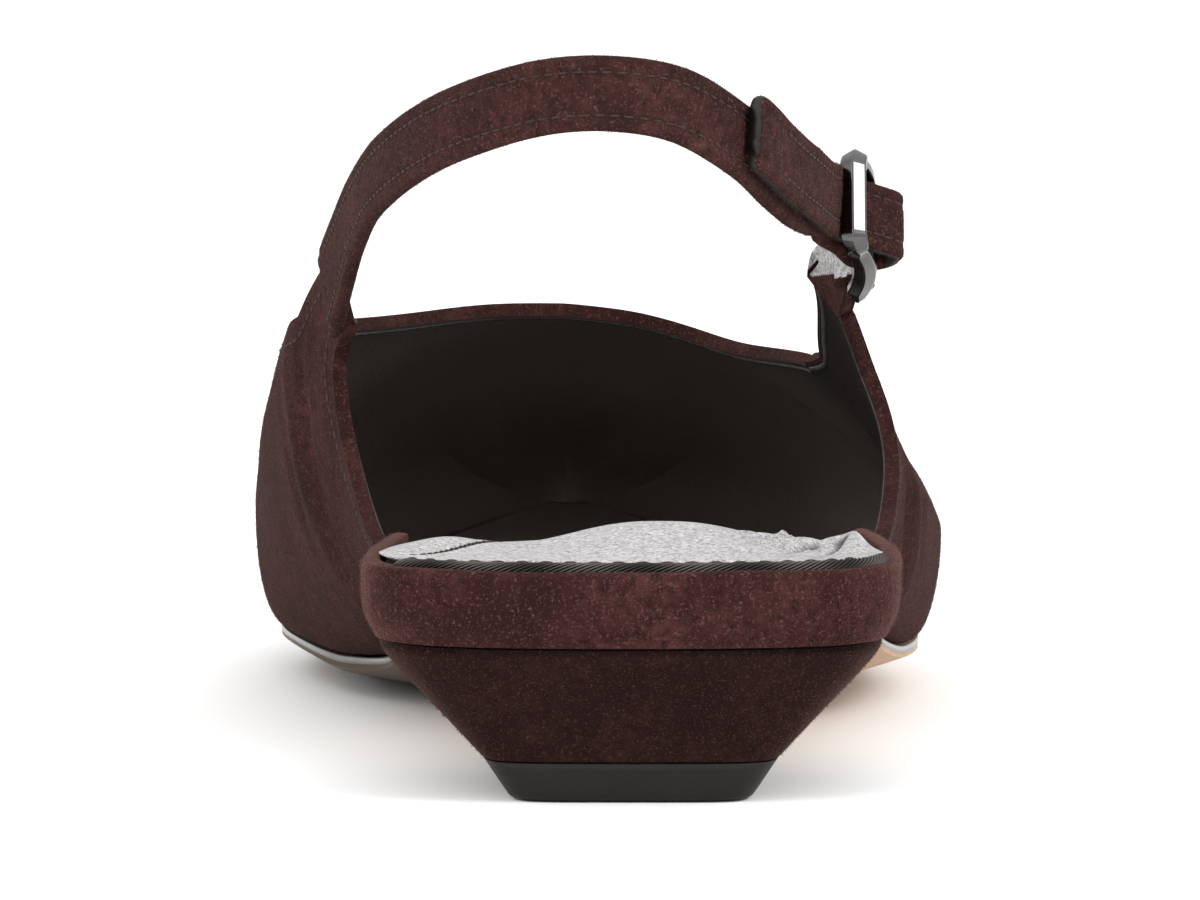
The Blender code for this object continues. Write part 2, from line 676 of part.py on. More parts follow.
def build_sling_strap(carrier):
    """Sling from the medial quarter round the back, folded over the middle bar and laid back on itself."""
    half = STRAP_THICKNESS / 2
    layer = STRAP_THICKNESS + LAYER_GAP
    tip_depth = BUCKLE_REAR_DROP - REAR_BAR[1] / 2 - GAP - half
    sling_depth = tip_depth - layer
    root_low, root_high = last_points(*on_last(SLING_ROOT, -1).T) + np.outer(SLING_ROOT_FLARE, (1, 0, 0))
    root_way = unit(np.array(SLING_ROUTE[0]) - (root_low + root_high) / 2)
    root_in = unit(np.cross(root_way, root_high - root_low))
    root = (root_low + root_high) / 2 + root_in * UPPER_WALL / 2 + root_way * 2 * GAP
    under_bar = in_buckle(BUCKLE_REAR, 0, sling_depth)
    route = np.array((tuple(root),) + SLING_ROUTE + (tuple(under_bar),))
    sling = through(route, SLING_POINTS)
    way = unit(np.gradient(sling, axis=0))
    sling_width = unit(np.array((0, 0, 1.0)) - way * way[:, 2:])
    outward = np.cross(sling_width, way)
    outward *= np.sign(outward[-1, 0])
    turn = np.radians(np.linspace(*FOLD_TURN, 9))
    fold_rows = [in_buckle(ahead, 0, out) for ahead, out in FOLD_IN]
    fold_rows += [in_buckle(FOLD_RADIUS * math.cos(a) - FOLD_BACK, 0, FOLD_RADIUS * math.sin(a)) for a in turn]
    fold_rows += [in_buckle(ahead, 0, out) for ahead, out in FOLD_OUT]
    laid = (sling[:, 1] > SLING_TIP_ALONG) & (sling[:, 0] > 0)
    risen = np.clip((SLING_TIP_RISE_END - sling[:, 1:2]) / SLING_TIP_RISE_LENGTH, 0, 1)
    rise = SLING_TIP_RISE * risen
    tip = (sling + outward * layer + sling_width * rise)[laid][::-1]
    tip_width = sling_width[laid][::-1]
    across = buckle_axes()[1]
    fold = through(np.array([sling[-1]] + fold_rows + [tip[0]]), FOLD_POINTS)[1:-1]
    centres = np.concatenate((sling, fold, tip))
    widths = np.concatenate((sling_width, np.tile(across, (len(fold), 1)), tip_width))
    travelled = np.concatenate(([0], np.cumsum(np.linalg.norm(np.diff(centres, axis=0), axis=1))))
    taper = np.clip(1 - travelled / STRAP_TAPER_LENGTH, 0, 1)
    widths += (unit(root_high - root_low) - widths) * taper[:, None]
    half_width = (STRAP_WIDTH + (STRAP_ROOT_WIDTH - STRAP_WIDTH) * taper ** 1.5) / 2
    rings = band_rings(centres, widths, half_width, half)
    end_way = unit(centres[-1] - centres[-2])
    lower = 0.5 - (rings[-1] - centres[-1]) @ unit(widths[-1]) / STRAP_WIDTH
    rings[-1] -= np.outer(lower, end_way) * SLING_TIP_SLANT
    return loft("sling_strap", rings, carrier)


def build_buckle_frame(carrier):
    """Arched metal frame: a flat rear bar, two rails and a front bar, with a middle bar across."""
    side = BUCKLE_HALF_WIDTH - RAIL[0] / 2
    long_half = (BUCKLE_FRONT - BUCKLE_REAR) / 2
    middle = (BUCKLE_FRONT + BUCKLE_REAR) / 2
    path = []
    turns = ((1, 1, 0), (-1, 1, 90), (-1, -1, 180), (1, -1, 270))
    for ahead, up, start in turns:
        for angle in np.radians(np.linspace(start, start + 90, 5)):
            path.append((middle + ahead * (long_half - BUCKLE_CORNER) + BUCKLE_CORNER * math.cos(angle),
                         up * (side - BUCKLE_CORNER) + BUCKLE_CORNER * math.sin(angle)))
    path = np.array(path + [path[0]])
    path = even(path, BUCKLE_POINTS + 1)[:-1]
    ends = np.abs(path[:, 0] - middle) / long_half
    drop = np.where(path[:, 0] < middle, BUCKLE_REAR_DROP, BUCKLE_FRONT_DROP) * ends ** 2
    tangent = unit(np.roll(path, -1, axis=0) - np.roll(path, 1, axis=0))
    rear = np.clip((middle - path[:, 0] - long_half * 0.80) / (long_half * 0.15), 0, 1)
    wide = RAIL[0] + (REAR_BAR[0] - RAIL[0]) * rear
    thick = RAIL[1] + (REAR_BAR[1] - RAIL[1]) * rear
    rings = []
    for place, way, low, breadth, depth in zip(path, tangent, drop, wide, thick):
        ring = []
        for angle in np.radians(np.arange(22.5, 360, 45)):
            aside = math.copysign(abs(math.cos(angle)) ** 0.7, math.cos(angle)) * breadth / 2
            out = math.copysign(abs(math.sin(angle)) ** 0.7, math.sin(angle)) * depth / 2
            ring.append(in_buckle(place[0] + way[1] * aside, place[1] - way[0] * aside, low + out))
        rings.append(ring)
    frame = closed_loft("buckle_frame", rings, carrier)
    bar_rings = []
    for reach in (-side, side):
        bar_rings.append([in_buckle(MIDDLE_BAR_RADIUS * math.cos(a), reach, MIDDLE_BAR_RADIUS * math.sin(a))
                          for a in np.radians(np.arange(0, 360, 45))])
    bar = loft("middle_bar", bar_rings, carrier)
    bar.hide_render = True
    bar.display_type = "WIRE"
    join = frame.modifiers.new("middle_bar", "BOOLEAN")
    join.operation = "UNION"
    join.object = bar
    return frame


def build_buckle_tab(carrier):
    """Loop round the buckle's front bar, its leaves closing and twisting to the finger's tip."""
    finger = last_points(*on_last(FINGER_TIP, 1).T)
    bar = in_buckle(BUCKLE_FRONT, 0, BUCKLE_FRONT_DROP)
    _, across, _ = buckle_axes()
    end_across = unit(finger[0] - finger[1])
    wall_in = unit(np.cross(end_across, finger.mean(axis=0) - bar))
    wall_in *= -np.sign(wall_in[0])
    end = finger.mean(axis=0) + wall_in * UPPER_WALL / 2
    way = unit(end - bar)
    end = end - way * 3 * GAP
    loop_way = unit(way - across * np.dot(way, across))
    out = np.cross(across, loop_way)
    hole = RAIL[0] / 2 + GAP
    round_outside = hole + TAB_WALL
    rings = []
    for angle in np.radians(np.linspace(TAB_MOUTH, 360 - TAB_MOUTH, 17)):
        ray = loop_way * math.cos(angle) + out * math.sin(angle)
        rings.append((bar + ray * round_outside, bar + ray * hole, across))
    for side in (-1, 1):
        mouth = math.radians(TAB_MOUTH_INSIDE) * side
        ray = loop_way * math.cos(mouth) + out * math.sin(mouth)
        rings.append((end + wall_in * TAB_LEAF * side, bar + ray * hole, end_across))
    solid = []
    for outer, inner, wide in rings:
        half = TAB_WIDTH / 2
        solid.append((outer - wide * half, inner - across * half, inner + across * half, outer + wide * half))
    return closed_loft("buckle_tab", solid, carrier)


def centre_on_origin(carrier):
    """Move the empty so that the middle of the shoe's footprint is the origin."""
    bpy.context.view_layer.update()
    corners = []
    for piece in carrier.children:
        if piece.hide_render:
            continue
        corners += [tuple(piece.matrix_world @ vertex.co) for vertex in piece.data.vertices]
    corners = np.array(corners)
    middle = (corners.min(axis=0) + corners.max(axis=0)) / 2
    carrier.location = (-middle[0], -middle[1], 0.0)


def main():
    clear_scene()
    shoe = bpy.data.objects.new("shoe", None)
    bpy.context.collection.objects.link(shoe)
    build_outsole(shoe)
    build_insole(shoe)
    build_sock_pad(shoe)
    build_heel(shoe)
    build_top_piece(shoe)
    build_heel_rand(shoe)
    build_upper(shoe)
    build_sling_strap(shoe)
    build_buckle_frame(shoe)
    build_buckle_tab(shoe)
    centre_on_origin(shoe)


main()
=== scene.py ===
"""Looks of the right-foot slingback pump: suede, lining, silver sock, sole and buckle.

Shapes are worked out in the shoe's own millimetres: x to the lateral side, y from the
back of the heel to the toe, z up. `placed` moves them to the frame, in metres.
"""
import math

import bpy
import numpy as np
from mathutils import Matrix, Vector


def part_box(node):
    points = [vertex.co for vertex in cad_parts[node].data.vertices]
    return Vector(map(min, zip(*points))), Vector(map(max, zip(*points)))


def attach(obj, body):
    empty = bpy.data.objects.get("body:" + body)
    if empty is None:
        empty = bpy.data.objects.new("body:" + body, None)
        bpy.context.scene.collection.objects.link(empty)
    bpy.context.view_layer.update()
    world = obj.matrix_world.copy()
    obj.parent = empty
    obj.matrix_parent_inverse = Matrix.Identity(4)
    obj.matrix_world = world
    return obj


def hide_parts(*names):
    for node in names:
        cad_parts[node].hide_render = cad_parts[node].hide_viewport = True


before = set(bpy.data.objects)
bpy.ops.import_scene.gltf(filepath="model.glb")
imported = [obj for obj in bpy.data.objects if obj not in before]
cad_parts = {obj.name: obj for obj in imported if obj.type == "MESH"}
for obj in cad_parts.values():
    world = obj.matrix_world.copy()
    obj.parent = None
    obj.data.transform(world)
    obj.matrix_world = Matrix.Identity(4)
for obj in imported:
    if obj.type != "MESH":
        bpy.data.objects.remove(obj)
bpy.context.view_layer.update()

MM = 0.001
RAND_LOW, RAND_HIGH = (np.array(corner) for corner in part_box("heel_rand"))
SHIFT = np.array(((RAND_LOW[0] + RAND_HIGH[0]) / 2, RAND_LOW[1], 0.0))

# Main sizes of the last and the shoe
LENGTH = 262.0
BALL_WIDTH = 82.0
INSTEP_RISE = 50.0
HEEL_LIFT = 17.4
BALL_FEATHER_HEIGHT = 5.6
SEAT_HALF_WIDTH = 29.4
GAP = 0.3
UPPER_WALL = 1.6
RAND_TOP = 25.5
RAND_BOTTOM = 17.2
RAND_WALL = 2.2
RAND_END = 51.0
SOLE_BACK = 51.2
UPPER_BACK = 51.8

# Outline of the heel seat: along, half width in percent of SEAT_HALF_WIDTH
SEAT = ((0.0, 0.0), (1.1, 46.0), (4.6, 78.0), (12.0, 95.5), (23.0, 100.0), (37.0, 97.0))

# Sections of the last: along in percent of LENGTH, lift of the feather edge in percent
# of HEEL_LIFT, widths in percent of BALL_WIDTH, heights in percent of INSTEP_RISE
LAST_COLUMNS = ("along", "lift", "feather_m", "feather_l", "swell_m", "swell_h_m",
                "swell_l", "swell_h_l", "ridge", "ridge_h", "round_m", "round_l")
LAST = (
    (19.0, 100.0, -32.9, 32.9, 4.9, 36.0, 3.0, 20.0, -4.9, 108.0, 2.60, 1.70),
    (24.0, 86.0, -33.0, 32.9, 6.0, 42.0, 3.7, 22.0, -4.9, 108.0, 2.60, 1.70),
    (29.0, 60.0, -33.1, 32.9, 8.6, 52.0, 4.6, 28.0, -5.5, 108.0, 2.50, 1.68),
    (34.5, 30.0, -32.6, 34.1, 15.6, 61.0, 6.7, 32.0, -6.7, 107.0, 2.15, 1.24),
    (42.0, 9.0, -34.8, 37.8, 17.1, 55.0, 5.4, 32.0, -8.5, 100.0, 1.80, 1.36),
    (50.0, 3.0, -45.2, 40.9, 8.8, 42.0, 3.9, 26.0, -9.8, 89.4, 1.62, 1.34),
    (57.5, 0.0, -50.2, 40.6, 4.9, 31.0, 3.9, 23.0, -9.8, 79.6, 1.65, 1.50),
    (65.0, 0.0, -50.9, 37.0, 3.7, 25.0, 3.7, 21.0, -9.8, 69.8, 1.75, 1.65),
    (72.5, 3.0, -46.6, 30.1, 3.6, 21.0, 3.5, 19.0, -10.0, 59.4, 1.85, 1.80),
    (80.0, 8.6, -39.8, 21.5, 3.7, 18.0, 3.3, 17.0, -10.2, 48.6, 1.95, 1.90),
    (88.0, 17.0, -31.1, 11.7, 3.0, 15.0, 2.9, 14.4, -10.4, 37.0, 2.00, 2.00),
    (94.0, 24.7, -22.7, 3.2, 2.4, 12.0, 2.4, 12.0, -10.4, 27.0, 2.00, 2.00),
    (98.0, 29.0, -16.3, -3.7, 1.8, 9.0, 1.8, 9.0, -10.4, 17.6, 2.00, 2.00),
    (99.5, 31.0, -12.9, -7.6, 1.1, 5.2, 1.1, 5.2, -10.4, 9.6, 2.00, 2.00),
    (100.0, 31.6, -10.4, -10.4, 0.0, 0.0, 0.0, 0.0, -10.4, 0.0, 2.00, 2.00),
)

# Collar line, along and height
MEDIAL_BACK = ((UPPER_BACK, 24.4), (60.0, 27.0), (67.0, 31.5), (72.5, 37.0), (74.8, 41.5))
SLING_ROOT = ((66.6, 46.9), (72.4, 56.0))
SLING_ROOT_FLARE = (0.0, -2.6)
THROAT_MEDIAL = ((88.0, 47.4), (97.0, 45.7), (111.0, 45.3), (128.0, 45.1), (143.0, 45.3))
THROAT_RIDGE_ALONG = 151.5
THROAT_LATERAL = ((147.0, 44.0), (139.0, 42.4), (125.0, 41.6), (107.0, 41.9), (95.0, 42.8),
                  (87.2, 43.8))
FINGER_TIP = ((74.8, 53.4), (68.8, 48.8))
MEDIAL_ROOT_BEND = ((74.8, 45.4), (83.0, 54.0))
FINGER_BEND = ((81.0, 49.4), (74.8, 45.0))
LATERAL_BACK = ((75.8, 42.0), (74.6, 38.0), (69.5, 32.6), (62.0, 28.0), (UPPER_BACK, 24.4))
MEDIAL_ROOT_FEATHER = (84.0, 98.0)
LATERAL_ROOT_FEATHER = (98.0, 84.0)

# Soft creases of the quarters and the vamp: side (-1 medial), along, height, lean in
# degrees from upright, half length, half width and depth (a negative depth is a ridge)
CREASES = (
    (-1, 84.0, 33.0, 8.0, 11.0, 1.5, 0.50),
    (-1, 88.5, 31.0, 12.0, 12.0, 1.7, -0.38),
    (-1, 93.0, 29.0, 14.0, 10.0, 1.8, 0.38),
    (-1, 79.0, 38.0, 3.0, 9.0, 2.2, -0.30),
    (1, 82.0, 25.0, -10.0, 9.0, 1.8, 0.50),
    (1, 87.0, 24.0, -14.0, 10.0, 2.0, -0.38),
    (1, 93.0, 26.0, -12.0, 9.0, 2.0, 0.40),
    (1, 78.0, 36.0, -6.0, 7.0, 1.7, 0.35),
    (-1, 158.0, 26.0, 34.0, 9.0, 2.6, 0.30),
    (1, 160.0, 24.0, -34.0, 9.0, 2.6, 0.30),
)

# Heel block and top piece, downwards: height, width in percent of the seat's, back, breast,
# and how square the back is in plan
HEEL = (
    (16.9, 94.4, 1.7, 50.6, 1.0),
    (15.6, 91.6, 2.1, 50.2, 1.05),
    (14.0, 87.0, 2.8, 49.5, 1.1),
    (9.3, 70.8, 5.0, 46.4, 1.35),
    (4.6, 55.1, 6.6, 43.4, 1.6),
)
TOP_PIECE = (
    (4.3, 54.3, 6.7, 43.2, 1.6),
    (1.0, 46.6, 7.5, 41.6, 1.7),
    (0.3, 44.6, 8.0, 41.1, 1.7),
    (0.0, 41.8, 9.0, 40.2, 1.7),
)
# Profile of the rand, downwards: height and inset from the seat outline
RAND_PROFILE = ((25.5, 0.9), (25.2, 0.25), (24.2, 0.0), (21.0, 0.1), (19.2, 0.5), (17.2, 1.5))

# Sling and buckle
STRAP_THICKNESS = 1.7
STRAP_WIDTH = 8.1
STRAP_ROOT_WIDTH = 10.8
STRAP_TAPER_LENGTH = 34.0
LAYER_GAP = 0.35
SLING_ROUTE = (
    (-32.4, 61.0, 56.0),
    (-30.4, 49.5, 61.4),
    (-27.7, 36.0, 66.0),
    (-22.9, 22.0, 70.3),
    (-17.2, 11.6, 73.4),
    (-9.5, 4.4, 75.9),
    (-2.0, 2.7, 76.4),
    (5.2, 6.0, 75.0),
    (11.4, 14.6, 71.0),
    (14.8, 23.0, 67.4),
    (17.4, 31.5, 64.8),
    (19.4, 40.0, 63.4),
)
SLING_TIP_ALONG = 13.5
SLING_TIP_SLANT = 2.0
SLING_TIP_RISE = 1.0
SLING_TIP_RISE_LENGTH = 10.0
SLING_TIP_RISE_END = 43.2
BUCKLE_CENTRE = (26.6, 53.2, 59.4)
BUCKLE_PITCH = 27.0
BUCKLE_REAR = -8.0
BUCKLE_FRONT = 8.0
BUCKLE_REAR_DROP = -1.8
BUCKLE_FRONT_DROP = -1.6
BUCKLE_HALF_WIDTH = 6.1
BUCKLE_CORNER = 1.6
REAR_BAR = (2.6, 2.2)
RAIL = (1.5, 1.3)
RAIL_DEEPER = 1.2
REAR_WIDER = 0.7
# Section of the frame: shares of half the breadth outwards and of half the depth
FRAME_SECTION = ((1.0, -0.12), (0.97, 0.04), (0.46, 0.90), (0.28, 1.0), (-0.8, 1.0),
                 (-1.0, 0.8), (-1.0, -0.8), (-0.8, -1.0), (0.28, -1.0), (0.46, -0.92))
MIDDLE_BAR_RADIUS = 0.7
FOLD_RADIUS = 2.7
FOLD_TURN = (-70.0, 100.0)
FOLD_BACK = 0.5
FOLD_IN = ((-5.0, -5.7), (-2.2, -3.7))
FOLD_OUT = ((-3.4, -0.4), (-6.0, -3.75))
TAB_WALL = 1.2
TAB_WIDTH = 6.8
TAB_MOUTH = 20.0
TAB_MOUTH_INSIDE = 7.0
TAB_LEAF = 0.84
TAB_LAP = 0.9
# Silver lining of the loop: above a line from (x, z) at a slope, up to an x
LOOP_LINING = (20.7, 52.9, 0.30, 25.2)
TAB_CORNER = 1.9
TAB_WIDER = 1.2

# Sole layers
INSOLE_THICKNESS = 2.0
INSOLE_FLARE = 8.0
INSOLE_TOE_GAP = 4.0
SOLE_EDGE = 1.4
SOLE_OVERHANG = 0.5
SOLE_MIDDLE = 3.9
SOLE_DISH = 1.8
SOLE_BELLY = 2.4
DISH_FULL_WIDTH = 0.625
DISH_FADE = (17.0, 23.0)
PAD_LENGTH = 84.0
PAD_EDGE = 0.8
PAD_HUMP_AT = 31.0
PAD_HUMP_LENGTH = 20.0

# Fineness of the curves: steps to a row of a table, and points of the last's half section
# under and over its widest place
CURVE_STEPS = 60
STATION_STEPS = 40
SECTION_POINTS = (30, 70)


def smooth(rows, at):
    """Points at the row numbers `at` on a cubic curve through the rows."""
    rows = np.asarray(rows, float)
    at = np.asarray(at, float)
    slope = np.gradient(rows, axis=0)
    first = np.clip(np.floor(at).astype(int), 0, len(rows) - 2)
    f = (at - first)[:, None]
    ahead = f * f * (3 - 2 * f)
    ends = rows[first] * (1 - ahead) + rows[first + 1] * ahead
    return ends + slope[first] * f * (1 - f) ** 2 + slope[first + 1] * f * f * (f - 1)


def lengths(points):
    """Distance travelled along a polyline at each of its points."""
    steps = np.linalg.norm(np.diff(points, axis=0), axis=1)
    return np.concatenate(([0.0], np.cumsum(steps)))


def taken(points, reach, wanted):
    """Points of a polyline at the wanted distances, from its points and their distances."""
    return np.stack([np.interp(wanted, reach, column) for column in points.T], axis=1)


def even(points, count):
    """The open polyline's points spaced evenly along it."""
    points = np.asarray(points, float)
    reach = lengths(points)
    return taken(points, reach, np.linspace(0, reach[-1], count))


def dense(rows):
    """Close points on a smooth curve through the rows."""
    return smooth(rows, np.linspace(0, len(rows) - 1, CURVE_STEPS * len(rows)))


def through(rows, count):
    """Evenly spaced points on a smooth curve through the rows."""
    return even(dense(rows), count)


def unit(vectors):
    """Vectors of length one in the same directions."""
    return vectors / np.maximum(np.linalg.norm(vectors, axis=-1, keepdims=True), 1e-12)


def ease(share):
    """Smooth step from 0 to 1."""
    share = np.clip(share, 0, 1)
    return share * share * (3 - 2 * share)


def ramp(at, start, length):
    """Smooth step from 0 at the start to 1 a length further on."""
    return ease((at - start) / length)


def circle(count):
    """Angles of points spaced evenly round a circle."""
    return np.arange(count) * 2 * math.pi / count


def bell(aside, ahead, lean, half_length, half_width):
    """A ridge of height 1: a bell across it and a bell along it, leaning by degrees."""
    angle = math.radians(lean)
    across = aside * math.cos(angle) - ahead * math.sin(angle)
    along = aside * math.sin(angle) + ahead * math.cos(angle)
    return np.exp(-(across / half_width) ** 2 - (along / half_length) ** 2)


# Tilt of the forefoot: rise of its medial and lateral edge, the half width where it is full and the
# power it grows by, where it starts and ends along the shoe with the length of each change, and its
# upper end
BALL_CANT = (-1.2, 1.2)
CANT_HALF_WIDTH = 38.0
CANT_POWER = 1.5
CANT_START = (60.0, 50.0)
CANT_END = (190.0, 50.0)
CANT_TOP = 30.0

# Curl of the medial rim: rise, its start and length in shares of the half width, its upper end
BALL_CURL = 3.3
CURL_START = (0.88, 0.22)
CURL_TOP = 14.0


def placed(points):
    """Shoe millimetres to the frame's metres: the ball's lateral side raised, its medial side
    sunk but curled up at the rim, and nothing moved under the floor."""
    x, y, z = np.asarray(points, float).reshape(-1, 3).T
    share = ramp(y, *CANT_START) * (1 - ramp(y, *CANT_END)) * np.clip(1 - z / CANT_TOP, 0, 1)
    aside = np.abs(x) / CANT_HALF_WIDTH
    cant = np.where(x > 0, BALL_CANT[1], BALL_CANT[0]) * share * aside ** CANT_POWER
    rim = BALL_CURL * ramp(aside, *CURL_START) * np.clip(1 - z / CURL_TOP, 0, 1)
    cant = cant + np.where(x < 0, rim * share, 0.0)
    return np.column_stack((x, y, np.maximum(z + cant, np.minimum(z, 0.0)))) * MM + SHIFT


def last_sizes(station):
    """Real sizes of the last's sections at the given row numbers of the table."""
    share = dict(zip(LAST_COLUMNS, smooth(LAST, station).T))
    size = {"along": share["along"] * LENGTH / 100}
    size["feather"] = BALL_FEATHER_HEIGHT + share["lift"] * HEEL_LIFT / 100
    for name in ("feather_m", "feather_l", "swell_m", "swell_l", "ridge"):
        size[name + "_x"] = share[name] * BALL_WIDTH / 100
    for name in ("swell_h_m", "swell_h_l", "ridge_h"):
        size[name] = share[name] * INSTEP_RISE / 100
    size["round_m"] = share["round_m"]
    size["round_l"] = share["round_l"]
    return size


STATIONS = np.linspace(0, len(LAST) - 1, STATION_STEPS * (len(LAST) - 1) + 1)
STATION_ALONG = last_sizes(STATIONS)["along"]


def station_at(along):
    """Row number of the last's table, with its fraction, at a place along the shoe."""
    return np.interp(along, STATION_ALONG, STATIONS)


def half_sections(station, side):
    """Half sections of the last: upright at the widest point, then a superellipse to the ridge."""
    size = last_sizes(station)
    tag = "m" if side < 0 else "l"
    edge = size["feather_" + tag + "_x"]
    wide = edge + side * size["swell_" + tag + "_x"]
    wide_h = size["swell_h_" + tag]
    turn = np.linspace(0, math.pi / 2, SECTION_POINTS[0])[None, :]
    low_x = edge[:, None] + (wide - edge)[:, None] * np.sin(turn)
    low_z = wide_h[:, None] * (1 - np.cos(turn))
    power = 2 / size["round_" + tag][:, None]
    over = np.linspace(0, math.pi / 2, SECTION_POINTS[1])[None, 1:]
    ridge = size["ridge_x"][:, None]
    high_x = ridge + (wide[:, None] - ridge) * np.maximum(np.cos(over), 0) ** power
    high_z = wide_h[:, None] + (size["ridge_h"] - wide_h)[:, None] * np.sin(over) ** power
    x = np.concatenate((low_x, high_x), axis=1)
    z = size["feather"][:, None] + np.concatenate((low_z, high_z), axis=1)
    y = np.broadcast_to(size["along"][:, None], x.shape)
    return np.stack((x, y, z), axis=2)


def last_points(station, climb):
    """Points of the last: climb runs from -1, medial feather, over 0, the ridge, to 1."""
    station = np.asarray(station, float)
    climb = np.asarray(climb, float)
    found = np.zeros((len(station), 3))
    for side in (-1, 1):
        mine = climb <= 0 if side < 0 else climb > 0
        if not mine.any():
            continue
        curve = half_sections(station[mine], side)
        steps = np.linalg.norm(np.diff(curve, axis=1), axis=2)
        reach = np.concatenate((np.zeros((len(curve), 1)), np.cumsum(steps, axis=1)), axis=1)
        wanted = (1 - np.abs(climb[mine])) * reach[:, -1]
        index = np.clip((reach < wanted[:, None]).sum(axis=1) - 1, 0, reach.shape[1] - 2)
        row = np.arange(len(curve))
        span = np.maximum(reach[row, index + 1] - reach[row, index], 1e-9)
        part = np.clip((wanted - reach[row, index]) / span, 0, 1)[:, None]
        found[mine] = curve[row, index] * (1 - part) + curve[row, index + 1] * part
    return found


def climb_to(along, height, side):
    """How far up its half section the last reaches the height, as a climb value."""
    curve = half_sections(np.array([station_at(along)]), side)[0]
    reach = lengths(curve)
    return side * (1 - np.interp(height, curve[:, 2], reach) / reach[-1])


def on_last(rows, side):
    """Station and climb of each along-and-height row on one side of the last."""
    return np.array([(station_at(along), climb_to(along, height, side)) for along, height in rows])


def seat_outline(count, front=RAND_END):
    """Seat outline in plan, from the medial front round the back to the lateral front."""
    rows = [(SEAT_HALF_WIDTH * width / 100, along) for along, width in SEAT]
    rows.append((-LAST[0][2] * BALL_WIDTH / 100, front))
    medial = [(-x, y) for x, y in rows[:0:-1]]
    return through(medial + rows, count)


def left_of(outline):
    """Unit vectors square to an open outline in plan, to its left."""
    tangent = unit(np.gradient(outline, axis=0))
    return np.stack((-tangent[:, 1], tangent[:, 0]), axis=1)


def inset_open(outline, inset):
    """The open outline moved to its left by the inset, which is towards the foot."""
    return outline + left_of(outline) * np.asarray(inset, float).reshape(-1, 1)


def quads_of(index, wrap_rows=False, wrap_columns=False):
    """Quads between neighbouring points of a grid of point numbers."""
    if wrap_rows:
        index = np.concatenate((index, index[:1]), axis=0)
    if wrap_columns:
        index = np.concatenate((index, index[:, :1]), axis=1)
    corners = (index[:-1, :-1], index[:-1, 1:], index[1:, 1:], index[1:, :-1])
    return np.stack(corners, axis=-1).reshape(-1, 4)


def mesh_piece(name, points, faces, materials):
    """A mesh object from points in metres and faces, with its materials."""
    mesh = bpy.data.meshes.new(name)
    mesh.from_pydata(points.tolist(), [], faces.tolist())
    for material in materials:
        mesh.materials.append(material)
    piece = bpy.data.objects.new(name, mesh)
    bpy.context.collection.objects.link(piece)
    return piece


def make(name, points, faces, materials, node=None, marks=None, turn=False):
    """One smooth mesh piece on the shoe; `marks` gives each face's material number."""
    piece = mesh_piece(name, placed(points), faces[:, ::-1] if turn else faces, materials)
    if marks is not None:
        piece.data.polygons.foreach_set("material_index", np.asarray(marks, np.int32))
    piece.data.shade_smooth()
    piece.data.update()
    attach(piece, "root")
    if node:
        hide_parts(node)
    return piece


def rounded(piece, name, width, segments, degrees):
    """Rounds the piece's edges that are sharper than an angle, by a width in millimetres."""
    rim = piece.modifiers.new(name, "BEVEL")
    rim.width = width * MM
    rim.segments = segments
    rim.limit_method = "ANGLE"
    rim.angle_limit = math.radians(degrees)


def mark_points(piece, name, values):
    """Stores one value for each point of the piece, for its material."""
    piece.data.attributes.new(name, "FLOAT", "POINT").data.foreach_set("value", values.ravel())


def loft_faces(many, around, closed=False):
    """Quads of a loft through equal rings; open lofts get a fan of quads over both ends."""
    index = np.arange(many * around).reshape(many, around)
    faces = quads_of(index, wrap_rows=closed, wrap_columns=True)
    if closed:
        return faces
    half = around // 2
    low = np.arange(half)
    high = around - 1 - low
    ends = []
    for ring, flip in ((index[0], False), (index[-1], True)):
        strip = np.stack((ring[low[:-1]], ring[low[1:]], ring[high[1:]], ring[high[:-1]]), axis=1)
        ends.append(strip[:, ::-1] if not flip else strip)
    return np.concatenate((faces, *ends))


def with_ends(marks, around):
    """Marks of a loft's bands, then 0 for the quads over its first end and 1 for its last."""
    ends = around // 2 - 1
    return np.concatenate((marks, np.zeros(ends, int), np.ones(ends, int)))


def volume_sign(points, faces):
    """Sign of the enclosed volume of a closed mesh of quads."""
    a, b, c, d = (points[faces[:, corner]] for corner in range(4))
    both = np.sum(a * np.cross(b, c), axis=1) + np.sum(a * np.cross(c, d), axis=1)
    return np.sign(both.sum())


def solid(name, rings, materials, node=None, closed=False, marks=None):
    """A closed piece lofted through rings of an even number of points, faces outwards."""
    rings = np.asarray(rings, float)
    points = rings.reshape(-1, 3)
    faces = loft_faces(rings.shape[0], rings.shape[1], closed)
    turn = volume_sign(points - points.mean(axis=0), faces) < 0
    return make(name, points, faces, materials, node, marks, turn)


# Materials

def srgb(code):
    """Linear colour from an sRGB hex value."""
    parts = np.array([int(code[at:at + 2], 16) for at in (1, 3, 5)]) / 255
    linear = np.where(parts <= 0.04045, parts / 12.92, ((parts + 0.055) / 1.055) ** 2.4)
    return (*linear.tolist(), 1.0)


def per(size_mm):
    """Texture scale whose pattern repeats about every `size_mm`."""
    return 1000.0 / size_mm


def add(tree, kind, sockets=(), **settings):
    """Adds a node, sets its properties, and fills or links the input sockets."""
    node = tree.nodes.new(kind)
    for key, value in settings.items():
        setattr(node, key, value)
    for key, value in dict(sockets).items():
        if isinstance(value, bpy.types.NodeSocket):
            tree.links.new(value, node.inputs[key])
        else:
            node.inputs[key].default_value = value
    return node


# Sockets of a Mix node for colours: share, first and second colour, and its result
SHARE = 0
FIRST = 6
SECOND = 7
MIXED = 2


